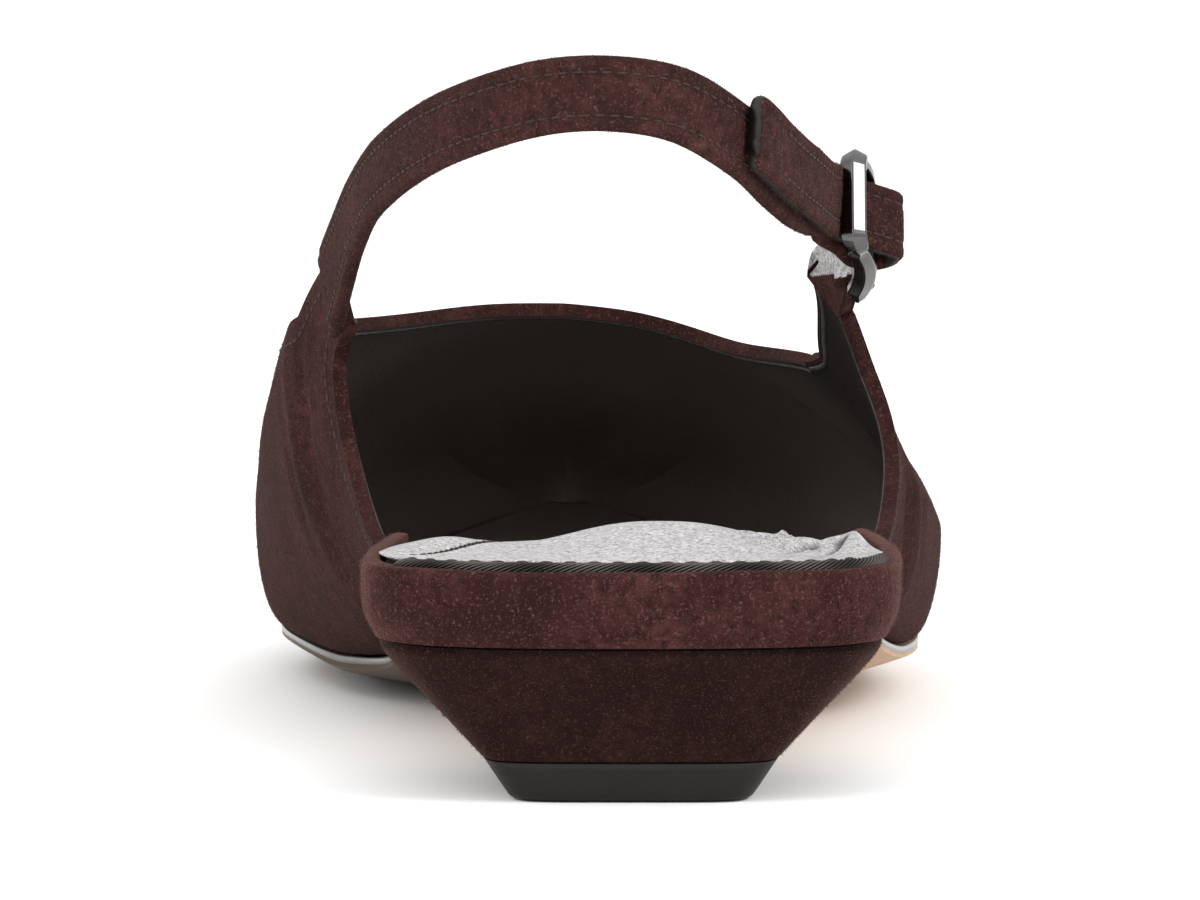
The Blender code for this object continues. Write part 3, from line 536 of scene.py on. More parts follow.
def blank(name, **sockets):
    """A new Principled material with these shader settings: its node tree and Object point."""
    material = bpy.data.materials.new(name)
    material.use_nodes = True
    tree = material.node_tree
    shader = tree.nodes["Principled BSDF"]
    for key, value in sockets.items():
        shader.inputs[key.replace("_", " ")].default_value = value
    return material, tree, add(tree, "ShaderNodeTexCoord").outputs["Object"]


def wired(material, **outputs):
    """The material with node outputs linked to the shader's sockets of these names."""
    tree = material.node_tree
    shader = tree.nodes["Principled BSDF"]
    for key, output in outputs.items():
        tree.links.new(output, shader.inputs[key.replace("_", " ")])
    return material


def suede(name, deep, nap, bright, sheen=0.05):
    """Brushed calf suede: no gloss, a mottled nap that lies in patches, pale fibre ends.

    The fibres are drawn coarser than real ones, so that they show.
    """
    material, tree, point = blank(name, Roughness=0.95, Specular_IOR_Level=0.05, Sheen_Weight=sheen,
                                  Sheen_Roughness=0.28, Sheen_Tint=srgb("#a67d75"))
    patch = add(tree, "ShaderNodeTexNoise",
                {"Vector": point, "Scale": per(8.0), "Detail": 3.0, "Roughness": 0.6})
    brushed = add(tree, "ShaderNodeTexNoise",
                  {"Vector": point, "Scale": per(1.3), "Detail": 4.0, "Roughness": 0.65})
    fibre = add(tree, "ShaderNodeTexNoise",
                {"Vector": point, "Scale": per(0.33), "Detail": 2.0, "Roughness": 0.6})
    lay = add(tree, "ShaderNodeMapRange",
              {"Value": patch.outputs["Fac"], "From Min": 0.30, "From Max": 0.70})
    rub = add(tree, "ShaderNodeMapRange",
              {"Value": brushed.outputs["Fac"], "From Min": 0.34, "From Max": 0.68})
    both = add(tree, "ShaderNodeMath", {0: lay.outputs["Result"], 1: rub.outputs["Result"], 2: 0.06},
               operation="MULTIPLY_ADD")
    base = add(tree, "ShaderNodeMix", data_type="RGBA", sockets={
        SHARE: both.outputs[0], FIRST: srgb(deep), SECOND: srgb(nap)})
    speck = add(tree, "ShaderNodeMapRange",
                {"Value": fibre.outputs["Fac"], "From Min": 0.56, "From Max": 0.80, "To Max": 0.60})
    tone = add(tree, "ShaderNodeMix", data_type="RGBA", sockets={
        SHARE: speck.outputs["Result"], FIRST: base.outputs[MIXED], SECOND: srgb(bright)})
    low = add(tree, "ShaderNodeBump",
              {"Height": brushed.outputs["Fac"], "Strength": 0.45, "Distance": 0.0004})
    fine = add(tree, "ShaderNodeBump", {"Height": fibre.outputs["Fac"], "Strength": 0.6,
                                        "Distance": 0.0002, "Normal": low.outputs["Normal"]})
    return wired(material, Base_Color=tone.outputs[MIXED], Normal=fine.outputs["Normal"])


def mottled(name, size_mm, detail, dark, light, relief=0.0, **sockets):
    """A finish whose tone drifts between two colours in spots of a size, raised by the relief."""
    material, tree, point = blank(name, **sockets)
    spots = add(tree, "ShaderNodeTexNoise", {"Vector": point, "Scale": per(size_mm), "Detail": detail})
    tone = add(tree, "ShaderNodeMix", data_type="RGBA", sockets={
        SHARE: spots.outputs["Fac"], FIRST: srgb(dark), SECOND: srgb(light)})
    if relief:
        bump = add(tree, "ShaderNodeBump",
                   {"Height": spots.outputs["Fac"], "Strength": relief, "Distance": 0.0003})
        wired(material, Normal=bump.outputs["Normal"])
    return wired(material, Base_Color=tone.outputs[MIXED])


def painted_light_ahead(tree, point, tone, start, end, painted_lit_tone):
    """The tone turning to a paler one as painted light, between two places along the shoe, in the frame's
    metres.
    """
    along = add(tree, "ShaderNodeSeparateXYZ", {"Vector": point})
    share = add(tree, "ShaderNodeMapRange",
                {"Value": along.outputs["Y"], "From Min": start, "From Max": end})
    mixed = add(tree, "ShaderNodeMix", data_type="RGBA", sockets={
        SHARE: share.outputs["Result"], FIRST: tone, SECOND: srgb(painted_lit_tone)})
    return mixed.outputs[MIXED]


def loose_fibre():
    """Loose fibre ends of the suede: the hide's brown, some of them bleached pale."""
    material, tree, point = blank("suede_fibre_ends", Roughness=0.9, Specular_IOR_Level=0.1)
    tone = add(tree, "ShaderNodeTexNoise", {"Vector": point, "Scale": per(0.9), "Detail": 2.0})
    spread = add(tree, "ShaderNodeMapRange",
                 {"Value": tone.outputs["Fac"], "From Min": 0.35, "From Max": 0.7})
    base = add(tree, "ShaderNodeMix", data_type="RGBA", sockets={
        SHARE: spread.outputs["Result"], FIRST: srgb("#2c1a18"), SECOND: srgb("#775954")})
    return wired(material, Base_Color=base.outputs[MIXED])


def lining_leather():
    """Black lining leather, unfinished: fine grain, a faint wax gloss, and painted light that makes it paler
    towards the toe.
    """
    material, tree, point = blank("black_lining_leather", Roughness=0.5, Specular_IOR_Level=0.3)
    grain = add(tree, "ShaderNodeTexVoronoi", {"Vector": point, "Scale": per(0.7)})
    tone = add(tree, "ShaderNodeTexNoise", {"Vector": point, "Scale": per(5.0), "Detail": 3.0})
    back = add(tree, "ShaderNodeMix", data_type="RGBA", sockets={
        SHARE: tone.outputs["Fac"], FIRST: srgb("#181412"), SECOND: srgb("#241f1c")})
    bump = add(tree, "ShaderNodeBump",
               {"Height": grain.outputs["Distance"], "Strength": 0.25, "Distance": 0.0002})
    # Painted light: the lining turns paler towards the toe, where the inside lies in shade
    base = painted_light_ahead(tree, point, back.outputs[MIXED], start=-0.03, end=0.06, painted_lit_tone="#8d827b")
    return wired(material, Base_Color=base, Normal=bump.outputs["Normal"])


def waxed_cord():
    """Black waxed welt cord: dark with a little gloss, the crests of its twist painted grey as highlight and
    the grooves black as shade.
    """
    material, tree, _ = blank("black_waxed_welt", Roughness=0.6, Specular_IOR_Level=0.12)
    # Painted highlight and shade: grey on the strands' crests, black in the grooves
    crest_highlight = add(tree, "ShaderNodeAttribute", attribute_name="crest_highlight")
    base = add(tree, "ShaderNodeMix", data_type="RGBA", sockets={
        SHARE: crest_highlight.outputs["Fac"], FIRST: srgb("#030202"), SECOND: srgb("#6a6460")})
    return wired(material, Base_Color=base.outputs[MIXED])


def silver_leather():
    """Silver foil leather sock: pale metallic flakes on a fine pebble grain, soft gloss, painted
    shade in its folds. The flakes are drawn coarser than real ones, so that they show."""
    material, tree, point = blank("silver_foil_leather", Metallic=0.25, Specular_IOR_Level=0.5)
    flake = add(tree, "ShaderNodeTexVoronoi", {"Vector": point, "Scale": per(0.30)})
    cloud = add(tree, "ShaderNodeTexNoise", {"Vector": point, "Scale": per(6.0), "Detail": 3.0})
    speckle = add(tree, "ShaderNodeSeparateColor", {"Color": flake.outputs["Color"]})
    grey = add(tree, "ShaderNodeMix", data_type="RGBA", sockets={
        SHARE: speckle.outputs["Red"], FIRST: srgb("#585555"), SECOND: srgb("#c8c6c6")})
    soft = add(tree, "ShaderNodeMapRange", {"Value": cloud.outputs["Fac"], "To Max": 0.6})
    base = add(tree, "ShaderNodeMix", data_type="RGBA", sockets={
        SHARE: soft.outputs["Result"], FIRST: grey.outputs[MIXED], SECOND: srgb("#9d9a9a")})
    # Painted shade: the fold value darkens the colour in the sock's folds
    fold = add(tree, "ShaderNodeAttribute", attribute_name="fold")
    fold_shaded = add(tree, "ShaderNodeMix", data_type="RGBA", sockets={
        SHARE: fold.outputs["Fac"], FIRST: base.outputs[MIXED], SECOND: srgb("#2b2826")})
    gloss = add(tree, "ShaderNodeMapRange",
                {"Value": speckle.outputs["Green"], "To Min": 0.32, "To Max": 0.62})
    bump = add(tree, "ShaderNodeBump",
               {"Height": flake.outputs["Distance"], "Strength": 0.35, "Distance": 0.0002})
    return wired(material, Base_Color=fold_shaded.outputs[MIXED], Roughness=gloss.outputs["Result"],
                 Normal=bump.outputs["Normal"])


def rubber():
    """Moulded black rubber top piece: fine matt grit with rubbed, greyer spots."""
    material, tree, point = blank("black_top_piece_rubber", Specular_IOR_Level=0.2)
    grit = add(tree, "ShaderNodeTexNoise", {"Vector": point, "Scale": per(0.5), "Detail": 3.0})
    rub = add(tree, "ShaderNodeTexNoise", {"Vector": point, "Scale": per(5.0), "Detail": 4.0})
    base = add(tree, "ShaderNodeMix", data_type="RGBA", sockets={
        SHARE: rub.outputs["Fac"], FIRST: srgb("#100f0c"), SECOND: srgb("#1d1b17")})
    gloss = add(tree, "ShaderNodeMapRange", {"Value": rub.outputs["Fac"], "To Min": 0.45, "To Max": 0.7})
    bump = add(tree, "ShaderNodeBump",
               {"Height": grit.outputs["Fac"], "Strength": 0.3, "Distance": 0.0003})
    return wired(material, Base_Color=base.outputs[MIXED], Roughness=gloss.outputs["Result"],
                 Normal=bump.outputs["Normal"])


def sole_leather():
    """Waxed tan sole leather: warm, smooth, with faint long fibres, painted shade darkening the medial side.
    """
    material, tree, point = blank("tan_sole_leather", Specular_IOR_Level=0.1)
    long = add(tree, "ShaderNodeMapping", {"Vector": point, "Scale": (1.0, 0.18, 1.0)})
    fibre = add(tree, "ShaderNodeTexNoise",
                {"Vector": long.outputs["Vector"], "Scale": per(1.2), "Detail": 4.0})
    cloud = add(tree, "ShaderNodeTexNoise", {"Vector": point, "Scale": per(18.0), "Detail": 3.0})
    base = add(tree, "ShaderNodeMix", data_type="RGBA", sockets={
        SHARE: cloud.outputs["Fac"], FIRST: srgb("#ad8b6d"), SECOND: srgb("#c9ad92")})
    streak = add(tree, "ShaderNodeMapRange",
                 {"Value": fibre.outputs["Fac"], "From Min": 0.4, "From Max": 0.7, "To Max": 0.35})
    tone = add(tree, "ShaderNodeMix", data_type="RGBA", sockets={
        SHARE: streak.outputs["Result"], FIRST: base.outputs[MIXED], SECOND: srgb("#9a7758")})
    # Painted shade: the underside turns dark brown towards the medial side
    place = add(tree, "ShaderNodeSeparateXYZ", {"Vector": point})
    medial_painted_shade = add(tree, "ShaderNodeMapRange",
                {"Value": place.outputs["X"], "From Min": -0.008, "From Max": -0.022, "To Max": 0.9})
    shaded_tone = add(tree, "ShaderNodeMix", data_type="RGBA", sockets={
        SHARE: medial_painted_shade.outputs["Result"], FIRST: tone.outputs[MIXED], SECOND: srgb("#3a3029")})
    gloss = add(tree, "ShaderNodeMapRange",
                {"Value": cloud.outputs["Fac"], "To Min": 0.35, "To Max": 0.55})
    bump = add(tree, "ShaderNodeBump",
               {"Height": fibre.outputs["Fac"], "Strength": 0.15, "Distance": 0.0002})
    return wired(material, Base_Color=shaded_tone.outputs[MIXED], Roughness=gloss.outputs["Result"],
                 Normal=bump.outputs["Normal"])


def edge_foil():
    """Silver-grey lacquer on the sole's edge: smooth and glossy, with faint streaks."""
    material, tree, point = blank("silver_edge_lacquer", Metallic=0.55, Roughness=0.28)
    streak = add(tree, "ShaderNodeMapping", {"Vector": point, "Scale": (1.0, 0.12, 1.0)})
    tone = add(tree, "ShaderNodeTexNoise",
               {"Vector": streak.outputs["Vector"], "Scale": per(1.0), "Detail": 3.0})
    base = add(tree, "ShaderNodeMix", data_type="RGBA", sockets={
        SHARE: tone.outputs["Fac"], FIRST: srgb("#4a4948"), SECOND: srgb("#757473")})
    return wired(material, Base_Color=base.outputs[MIXED])


def gunmetal():
    """Polished gunmetal plating: a clear dark mirror with faint polishing haze."""
    material, tree, point = blank("polished_gunmetal_plating", Metallic=1.0)
    haze = add(tree, "ShaderNodeTexNoise", {"Vector": point, "Scale": per(2.5), "Detail": 4.0})
    base = add(tree, "ShaderNodeMix", data_type="RGBA", sockets={
        SHARE: haze.outputs["Fac"], FIRST: srgb("#4c4b4b"), SECOND: srgb("#646363")})
    gloss = add(tree, "ShaderNodeMapRange", {"Value": haze.outputs["Fac"], "To Min": 0.10, "To Max": 0.24})
    return wired(material, Base_Color=base.outputs[MIXED], Roughness=gloss.outputs["Result"])


def board():
    """Black fabric-covered insole board: matt weave, dark, with painted light that makes it paler towards
    the toe.
    """
    material, tree, point = blank("black_insole_cloth", Roughness=0.85, Specular_IOR_Level=0.2)
    weave = add(tree, "ShaderNodeTexNoise", {"Vector": point, "Scale": per(0.6), "Detail": 2.0})
    back = add(tree, "ShaderNodeMix", data_type="RGBA", sockets={
        SHARE: weave.outputs["Fac"], FIRST: srgb("#2c2723"), SECOND: srgb("#3c3530")})
    bump = add(tree, "ShaderNodeBump",
               {"Height": weave.outputs["Fac"], "Strength": 0.3, "Distance": 0.0003})
    # Painted light: the board turns paler towards the toe, where it lies in shade
    base = painted_light_ahead(tree, point, back.outputs[MIXED], start=0.01, end=0.07, painted_lit_tone="#a99e96")
    return wired(material, Base_Color=base, Normal=bump.outputs["Normal"])


# Suedes of one hide, brushed differently, the heel's copy darker as painted shade: shadow, nap and fibre
# ends, and the sheen
UPPER_SUEDE = suede("burgundy_calf_suede", "#211312", "#412623", "#684942")
STRAP_SUEDE = suede("burgundy_strap_suede", "#241615", "#462b28", "#70524b")
RAND_SUEDE = suede("burgundy_rand_suede", "#231312", "#472a28", "#725350", sheen=0.45)
# The heel's suede is the same hide painted darker, as painted shade on the heel's downward-facing faces
SHADED_HEEL_SUEDE = suede("burgundy_heel_suede_painted_shade", "#1a0f0e", "#2a1918", "#4a3531", sheen=0.25)
FIBRE = loose_fibre()
LINING = lining_leather()
# Skived edge of the lining: bare grey-black leather that catches a little light, its paler grey partly a
# painted highlight
LINING_EDGE = mottled("grey_lining_edge", size_mm=1.2, detail=3.0, dark="#151413", light="#55534f",
                      relief=0.4, Roughness=0.6, Specular_IOR_Level=0.3)
WELT = waxed_cord()
# Black edge paint on cut leather: smooth, slightly glossy, a little uneven
EDGE_PAINT = mottled("black_edge_paint", size_mm=1.6, detail=3.0, dark="#080606", light="#171211",
                     relief=0.4, Roughness=0.42, Specular_IOR_Level=0.3)
SILVER = silver_leather()
RUBBER = rubber()
TAN = sole_leather()
EDGE_FOIL = edge_foil()
GUNMETAL = gunmetal()
# Polyester sewing thread: brown, twisted, with a small silky gloss
THREAD = mottled("brown_sewing_thread", size_mm=0.4, detail=2.0, dark="#120a09", light="#43312d",
                 Roughness=0.65, Specular_IOR_Level=0.25)
BOARD = board()
# White studio paper: matt, with a barely visible tone in wide clouds
PAPER = mottled("white_studio_paper", size_mm=1000.0 / 3, detail=2.0, dark="#f3f2f0", light="#f8f7f6",
                Roughness=0.9, Specular_IOR_Level=0.1)


# Upper: columns of its back edges, strap roots and throat, rows of the wall and of the roots, how
# the rows crowd and the root flares, width of the folded edge, stitches' inset and lift
BACK_COLUMNS = 30
ROOT_COLUMNS = 25
THROAT_COLUMNS = 201
WALL_ROWS = 72
STRIP_ROWS = 22
WALL_ROW_POWER = 0.9
ROOT_FLARE_POWER = 1.5
FOLDED_EDGE = 0.8
STITCH_EDGE = 3.0
STITCH_LIFT = 0.02

# Faint waves of the wall: depth, and lengths along, up, up again and across; and the vamp's
# middle line, which parts medial from lateral creases
WAVE_DEPTH = 0.10
WAVE_LENGTHS = (5.3, 7.1, 4.7, 9.0)
VAMP_MIDDLE = -8.0

# Face marks of the upper: plain suede has lining behind it, the folded edge has suede
PLAIN = 0
FOLDED = 2
UPPER_MATERIALS = [UPPER_SUEDE, LINING, UPPER_SUEDE, UPPER_SUEDE]


def along_collar(rows, count):
    """Station and climb at even real distances on the smooth curve through the rows."""
    curve = dense(rows)
    reach = lengths(last_points(*curve.T))
    return taken(curve, reach, np.linspace(0, reach[-1], count))


def upper_places():
    """Collar and feather ends of the upper's columns, as station and climb, and its root spans."""
    medial_back = along_collar(on_last(MEDIAL_BACK, -1), BACK_COLUMNS)
    throat = np.concatenate((on_last(THROAT_MEDIAL, -1),
                             [(station_at(THROAT_RIDGE_ALONG), 0.0)],
                             on_last(THROAT_LATERAL, 1)))
    throat = along_collar(throat, THROAT_COLUMNS)
    lateral_back = along_collar(on_last(LATERAL_BACK, 1), BACK_COLUMNS)
    medial_root = np.linspace(medial_back[-1], throat[0], ROOT_COLUMNS)
    lateral_root = np.linspace(throat[-1], lateral_back[0], ROOT_COLUMNS)
    collar = np.concatenate((medial_back, medial_root[1:-1], throat, lateral_root[1:-1], lateral_back))
    tip = len(LAST) - 1.0
    half_throat = THROAT_COLUMNS // 2 + 1
    back, low, high = station_at(np.array((UPPER_BACK,) + MEDIAL_ROOT_FEATHER))
    medial = np.concatenate((np.linspace(back, low, BACK_COLUMNS),
                             np.linspace(low, high, ROOT_COLUMNS)[1:-1],
                             np.linspace(high, tip, half_throat)))
    high, low, back = station_at(np.array(LATERAL_ROOT_FEATHER + (UPPER_BACK,)))
    lateral = np.concatenate((np.linspace(tip, high, half_throat)[1:],
                              np.linspace(high, low, ROOT_COLUMNS)[1:-1],
                              np.linspace(low, back, BACK_COLUMNS)))
    side = np.concatenate((np.full(len(medial) - 1, -1.0), [0.0], np.full(len(lateral), 1.0)))
    feather = np.column_stack((np.concatenate((medial, lateral)), side))
    medial_span = slice(BACK_COLUMNS - 1, BACK_COLUMNS - 1 + ROOT_COLUMNS)
    lateral_span = slice(len(collar) - medial_span.stop, len(collar) - medial_span.start)
    return collar, feather, medial_span, lateral_span


def grid_normals(grid):
    """Unit normals of a grid of points, square to its two directions, away from the foot."""
    return unit(np.cross(np.gradient(grid, axis=1), np.gradient(grid, axis=0)))


def creased(grid, normal):
    """The wall pressed in or raised by a bell along each crease, and waved a little all over."""
    x, y, z = np.moveaxis(grid, -1, 0)
    moved = np.zeros(grid.shape[:2])
    for side, along, height, lean, half_length, half_width, depth in CREASES:
        here = np.where(np.sign(x - VAMP_MIDDLE) == side, 1.0, 0.0)
        moved -= depth * here * bell(y - along, z - height, lean, half_length, half_width)
    long, high, high_too, wide = WAVE_LENGTHS
    moved += WAVE_DEPTH * np.sin(y / long + z / high) * np.sin(z / high_too + x / wide)
    return grid + normal * moved[..., None]


def bend_between(first, corner, last, count):
    """Points on the arc-like curve from each first to each last point that leans to the corner."""
    share = np.linspace(0, 1, count)[None, :, None]
    first, corner, last = (part[:, None, :] for part in (first, corner, last))
    return first * (1 - share) ** 2 + 2 * corner * share * (1 - share) + last * share ** 2


def upper_grids():
    """Wall grid (columns by rows, feather to collar) and the grids of the root and the finger."""
    collar, feather, medial_span, lateral_span = upper_places()
    climb = np.linspace(0, 1, WALL_ROWS) ** WALL_ROW_POWER
    place = feather[:, None, :] * (1 - climb[None, :, None]) + collar[:, None, :] * climb[None, :, None]
    wall = last_points(place[..., 0].ravel(), place[..., 1].ravel()).reshape(len(collar), WALL_ROWS, 3)
    wall = creased(wall, grid_normals(wall))
    strips = []
    for span, tip, side, bend in ((medial_span, SLING_ROOT, -1, MEDIAL_ROOT_BEND),
                                  (lateral_span, FINGER_TIP, 1, FINGER_BEND)):
        base = last_points(*collar[span].T)[:, 1:]
        end = np.linspace(tip[0], tip[1], len(base))
        corner = np.linspace(bend[0], bend[1], len(base))
        rows = bend_between(base, corner, end, STRIP_ROWS)
        strip = last_points(*on_last(rows.reshape(-1, 2), side).T).reshape(len(base), STRIP_ROWS, 3)
        if side < 0:
            flare = np.linspace(SLING_ROOT_FLARE[0], SLING_ROOT_FLARE[1], len(base))
            strip[..., 0] += np.outer(flare, np.linspace(0, 1, STRIP_ROWS) ** ROOT_FLARE_POWER)
        off_wall = wall[span, -1] - strip[:, 0]
        strip += off_wall[:, None, :] * np.linspace(1, 0, STRIP_ROWS)[None, :, None]
        strips.append((span, strip))
    return wall, strips


def build_upper():
    """Suede shell on the last with its folded edge, and the lining on its inner face."""
    wall, strips = upper_grids()
    columns = len(wall)
    points = [wall.reshape(-1, 3)]
    index = np.arange(columns * WALL_ROWS).reshape(columns, WALL_ROWS)
    faces = [quads_of(index)]
    from_edge = np.cumsum(np.linalg.norm(np.diff(wall, axis=1), axis=2)[:, ::-1], axis=1)[:, ::-1]
    open_edge = np.ones(columns - 1, bool)
    for span, strip in strips:
        open_edge[span.start:span.stop - 1] = False
    marks = [np.where((from_edge[:-1] <= FOLDED_EDGE) & open_edge[:, None], FOLDED, PLAIN).ravel()]
    start = columns * WALL_ROWS
    for span, strip in strips:
        many = strip.shape[0]
        fresh = start + np.arange(many * (STRIP_ROWS - 1)).reshape(many, STRIP_ROWS - 1)
        faces.append(quads_of(np.concatenate((index[span, -1:], fresh), axis=1)))
        points.append(strip[:, 1:].reshape(-1, 3))
        edge = np.full((many - 1, STRIP_ROWS - 1), PLAIN)
        edge[-1:] = FOLDED
        if span.start < columns // 2:
            edge[:1] = FOLDED
        marks.append(edge.ravel())
        start += many * (STRIP_ROWS - 1)
    upper = make("upper_suede_shell", np.concatenate(points), np.concatenate(faces),
                 UPPER_MATERIALS, "upper", np.concatenate(marks))
    skin = upper.modifiers.new("wall", "SOLIDIFY")
    skin.thickness = UPPER_WALL * MM
    skin.offset = -1.0
    skin.material_offset = 1
    skin.material_offset_rim = 0
    rounded(upper, "folded_edge", width=0.6, segments=3, degrees=50)
    return wall, strips


def stitch_rows(path, outward, pitch, length):
    """Middles and axes of stitches set along a path, one every pitch, as long as given."""
    reach = lengths(path)
    middle = np.arange(pitch / 2, reach[-1], pitch)
    start = taken(path, reach, middle - length / 2)
    end = taken(path, reach, middle + length / 2)
    return (start + end) / 2, end - start, unit(taken(outward, reach, middle))


# A stitch: points round it, rings along it, and how strongly it thins towards its ends
STITCH_AROUND = 6
STITCH_RINGS = 5
STITCH_ROUND = 1.86


def sewn(name, seams, pitch=1.6, length=1.2, radius=0.16):
    """Stitches as small closed beads: rings that swell to the middle, along each stitch."""
    middles, axes, normals = (np.concatenate(part) for part in zip(
        *[stitch_rows(path, outward, pitch, length) for path, outward in seams]))
    side = unit(np.cross(axes, normals))
    up = unit(np.cross(side, axes))
    along = np.linspace(-0.5, 0.5, STITCH_RINGS)
    swell = np.sqrt(np.maximum(1 - (STITCH_ROUND * along) ** 2, 0.0)) * radius
    turn = circle(STITCH_AROUND)
    ring = (side[:, None, None, :] * np.cos(turn)[None, None, :, None]
            + up[:, None, None, :] * np.sin(turn)[None, None, :, None])
    points = middles[:, None, None, :] + axes[:, None, None, :] * along[None, :, None, None]
    points = points + ring * swell[None, :, None, None]
    many = STITCH_RINGS * STITCH_AROUND
    one = loft_faces(STITCH_RINGS, STITCH_AROUND)
    faces = (one[None] + np.arange(len(middles))[:, None, None] * many).reshape(-1, 4)
    turned = volume_sign(points[0].reshape(-1, 3) - middles[0], one) < 0
    return make(name, points.reshape(-1, 3), faces, [THREAD], None, None, turned)


def evened(points, normals, step=0.5):
    """An edge and its normals at even steps, both softened over three steps."""
    reach = lengths(points)
    keep = np.concatenate(([True], np.diff(reach) > 1e-6))
    both = np.concatenate((points, normals), axis=1)[keep]
    both = taken(both, reach[keep], np.linspace(0, reach[-1], int(reach[-1] / step) + 1))
    for _ in range(3):
        both[1:-1] = (both[:-2] + 2 * both[1:-1] + both[2:]) / 4
    return both[:, :3], unit(both[:, 3:])


def edge_lines(wall, strips):
    """Free edges of the shell and their normals: medial back, throat with its roots, lateral back."""
    (medial_span, root), (lateral_span, finger) = strips
    top = wall[:, -1]
    out = grid_normals(wall)[:, -1]
    root_out = grid_normals(root)
    finger_out = grid_normals(finger)
    throat = slice(medial_span.stop, lateral_span.start)
    medial = slice(0, medial_span.start)
    lateral = slice(lateral_span.stop, len(wall))
    return (
        evened(np.concatenate((top[medial], root[0])), np.concatenate((out[medial], root_out[0]))),
        evened(np.concatenate((root[-1, ::-1], top[throat], finger[0])),
               np.concatenate((root_out[-1, ::-1], out[throat], finger_out[0]))),
        evened(np.concatenate((finger[-1, ::-1], top[lateral])),
               np.concatenate((finger_out[-1, ::-1], out[lateral]))),
    )


def inset_edge(points, normals, inset):
    """The edge moved into the shell, square to its own way and to the normal."""
    return points + unit(np.cross(normals, unit(np.gradient(points, axis=0)))) * inset


# Points of a path that are settled at once, to save memory
SETTLED_AT_ONCE = 40


def settled(path, grids, lift):
    """Path points dropped on the tangent plane of the nearest grid point, and lifted off it."""
    points = np.concatenate([grid.reshape(-1, 3) for grid in grids])
    normals = np.concatenate([grid_normals(grid).reshape(-1, 3) for grid in grids])
    near = np.concatenate([np.argmin(((part[:, None, :] - points[None]) ** 2).sum(axis=2), axis=1)
                           for part in np.array_split(path, max(len(path) // SETTLED_AT_ONCE, 1))])
    normal = normals[near]
    off = np.sum((path - points[near]) * normal, axis=1, keepdims=True)
    return path - normal * (off - lift), normal


def upper_seams(wall, strips):
    """Stitch lines inside the free edges, laid on the suede."""
    grids = [wall] + [strip for span, strip in strips]
    return [settled(inset_edge(points, normals, STITCH_EDGE), grids, STITCH_LIFT)
            for points, normals in edge_lines(wall, strips)]


# Bead of the lining's edge: points round it, inset from the fold, gap to the wall, half sizes
LIP_AROUND = 8
LIP_INSET = 0.25
LIP_GAP = 0.02
LIP_SIZE = (0.30, 0.17)


def build_lining_lip(wall, strips):
    """Lining's turned edge under the suede fold: a small round bead along each inner edge."""
    turn = circle(LIP_AROUND)
    for number, (points, normals) in enumerate(edge_lines(wall, strips)):
        path = inset_edge(points, normals, FOLDED_EDGE + LIP_INSET) - normals * (UPPER_WALL + LIP_GAP)
        across = unit(np.cross(unit(np.gradient(path, axis=0)), normals))
        rings = path[:, None, :] + across[:, None, :] * np.cos(turn)[None, :, None] * LIP_SIZE[0]
        rings = rings - normals[:, None, :] * np.sin(turn)[None, :, None] * LIP_SIZE[1]
        solid("lining_edge_%d" % number, rings, [LINING_EDGE])


# Heel, rand and seat

def heel_ring(height, width, back, breast, square, count=160, front=60):
    """Closed D outline of the heel: the seat outline narrowed, set back and cut at the breast."""
    outline = seat_outline(count)
    across = outline[:, 0] * width / 100
    along = back + (breast - back) * np.clip(outline[:, 1] / RAND_END, 0, 1) ** square
    line = np.linspace(1, -1, front + 2)[1:-1]
    across = np.concatenate((across, across[-1] * line))
    along = np.concatenate((along, np.full(front, breast)))
    return np.column_stack((across, along, np.full(len(along), height)))


def heel_rows(table, count):
    """Rows of the table on a smooth curve down the block."""
    return smooth(table, np.linspace(0, len(table) - 1, count))


def shrunk(ring, by, height):
    """The ring pulled in towards its middle by a distance, at another height."""
    middle = ring.mean(axis=0)
    toward = ring - middle
    size = np.linalg.norm(toward[:, :2], axis=1, keepdims=True)
    moved = middle + toward * np.maximum(1 - by / np.maximum(size, 1e-6), 0)
    moved[:, 2] = height
    return moved


# Loose fibres, thicker than real ones so that they show: lengths, half width, how far they
# lean off upright, and how deep they are rooted
FIBRE_LENGTH = (0.12, 0.40)
FIBRE_HALF_WIDTH = 0.032
FIBRE_LEAN = (0.2, 1.5)
FIBRE_ROOT = 0.05


def ring_normals(rings):
    """Normals of a closed loft, turned away from each ring's middle."""
    ahead = np.gradient(rings, axis=0)
    around = np.roll(rings, -1, axis=1) - np.roll(rings, 1, axis=1)
    normal = unit(np.cross(ahead, around))
    away = np.sum(normal * (rings - rings.mean(axis=1, keepdims=True)), axis=2, keepdims=True)
    return normal * np.where(away < 0, -1.0, 1.0)


def closed_grid(rings):
    """The loft's rings and normals with the first column repeated."""
    return tuple(np.concatenate((part, part[:, :1]), axis=1) for part in (rings, ring_normals(rings)))


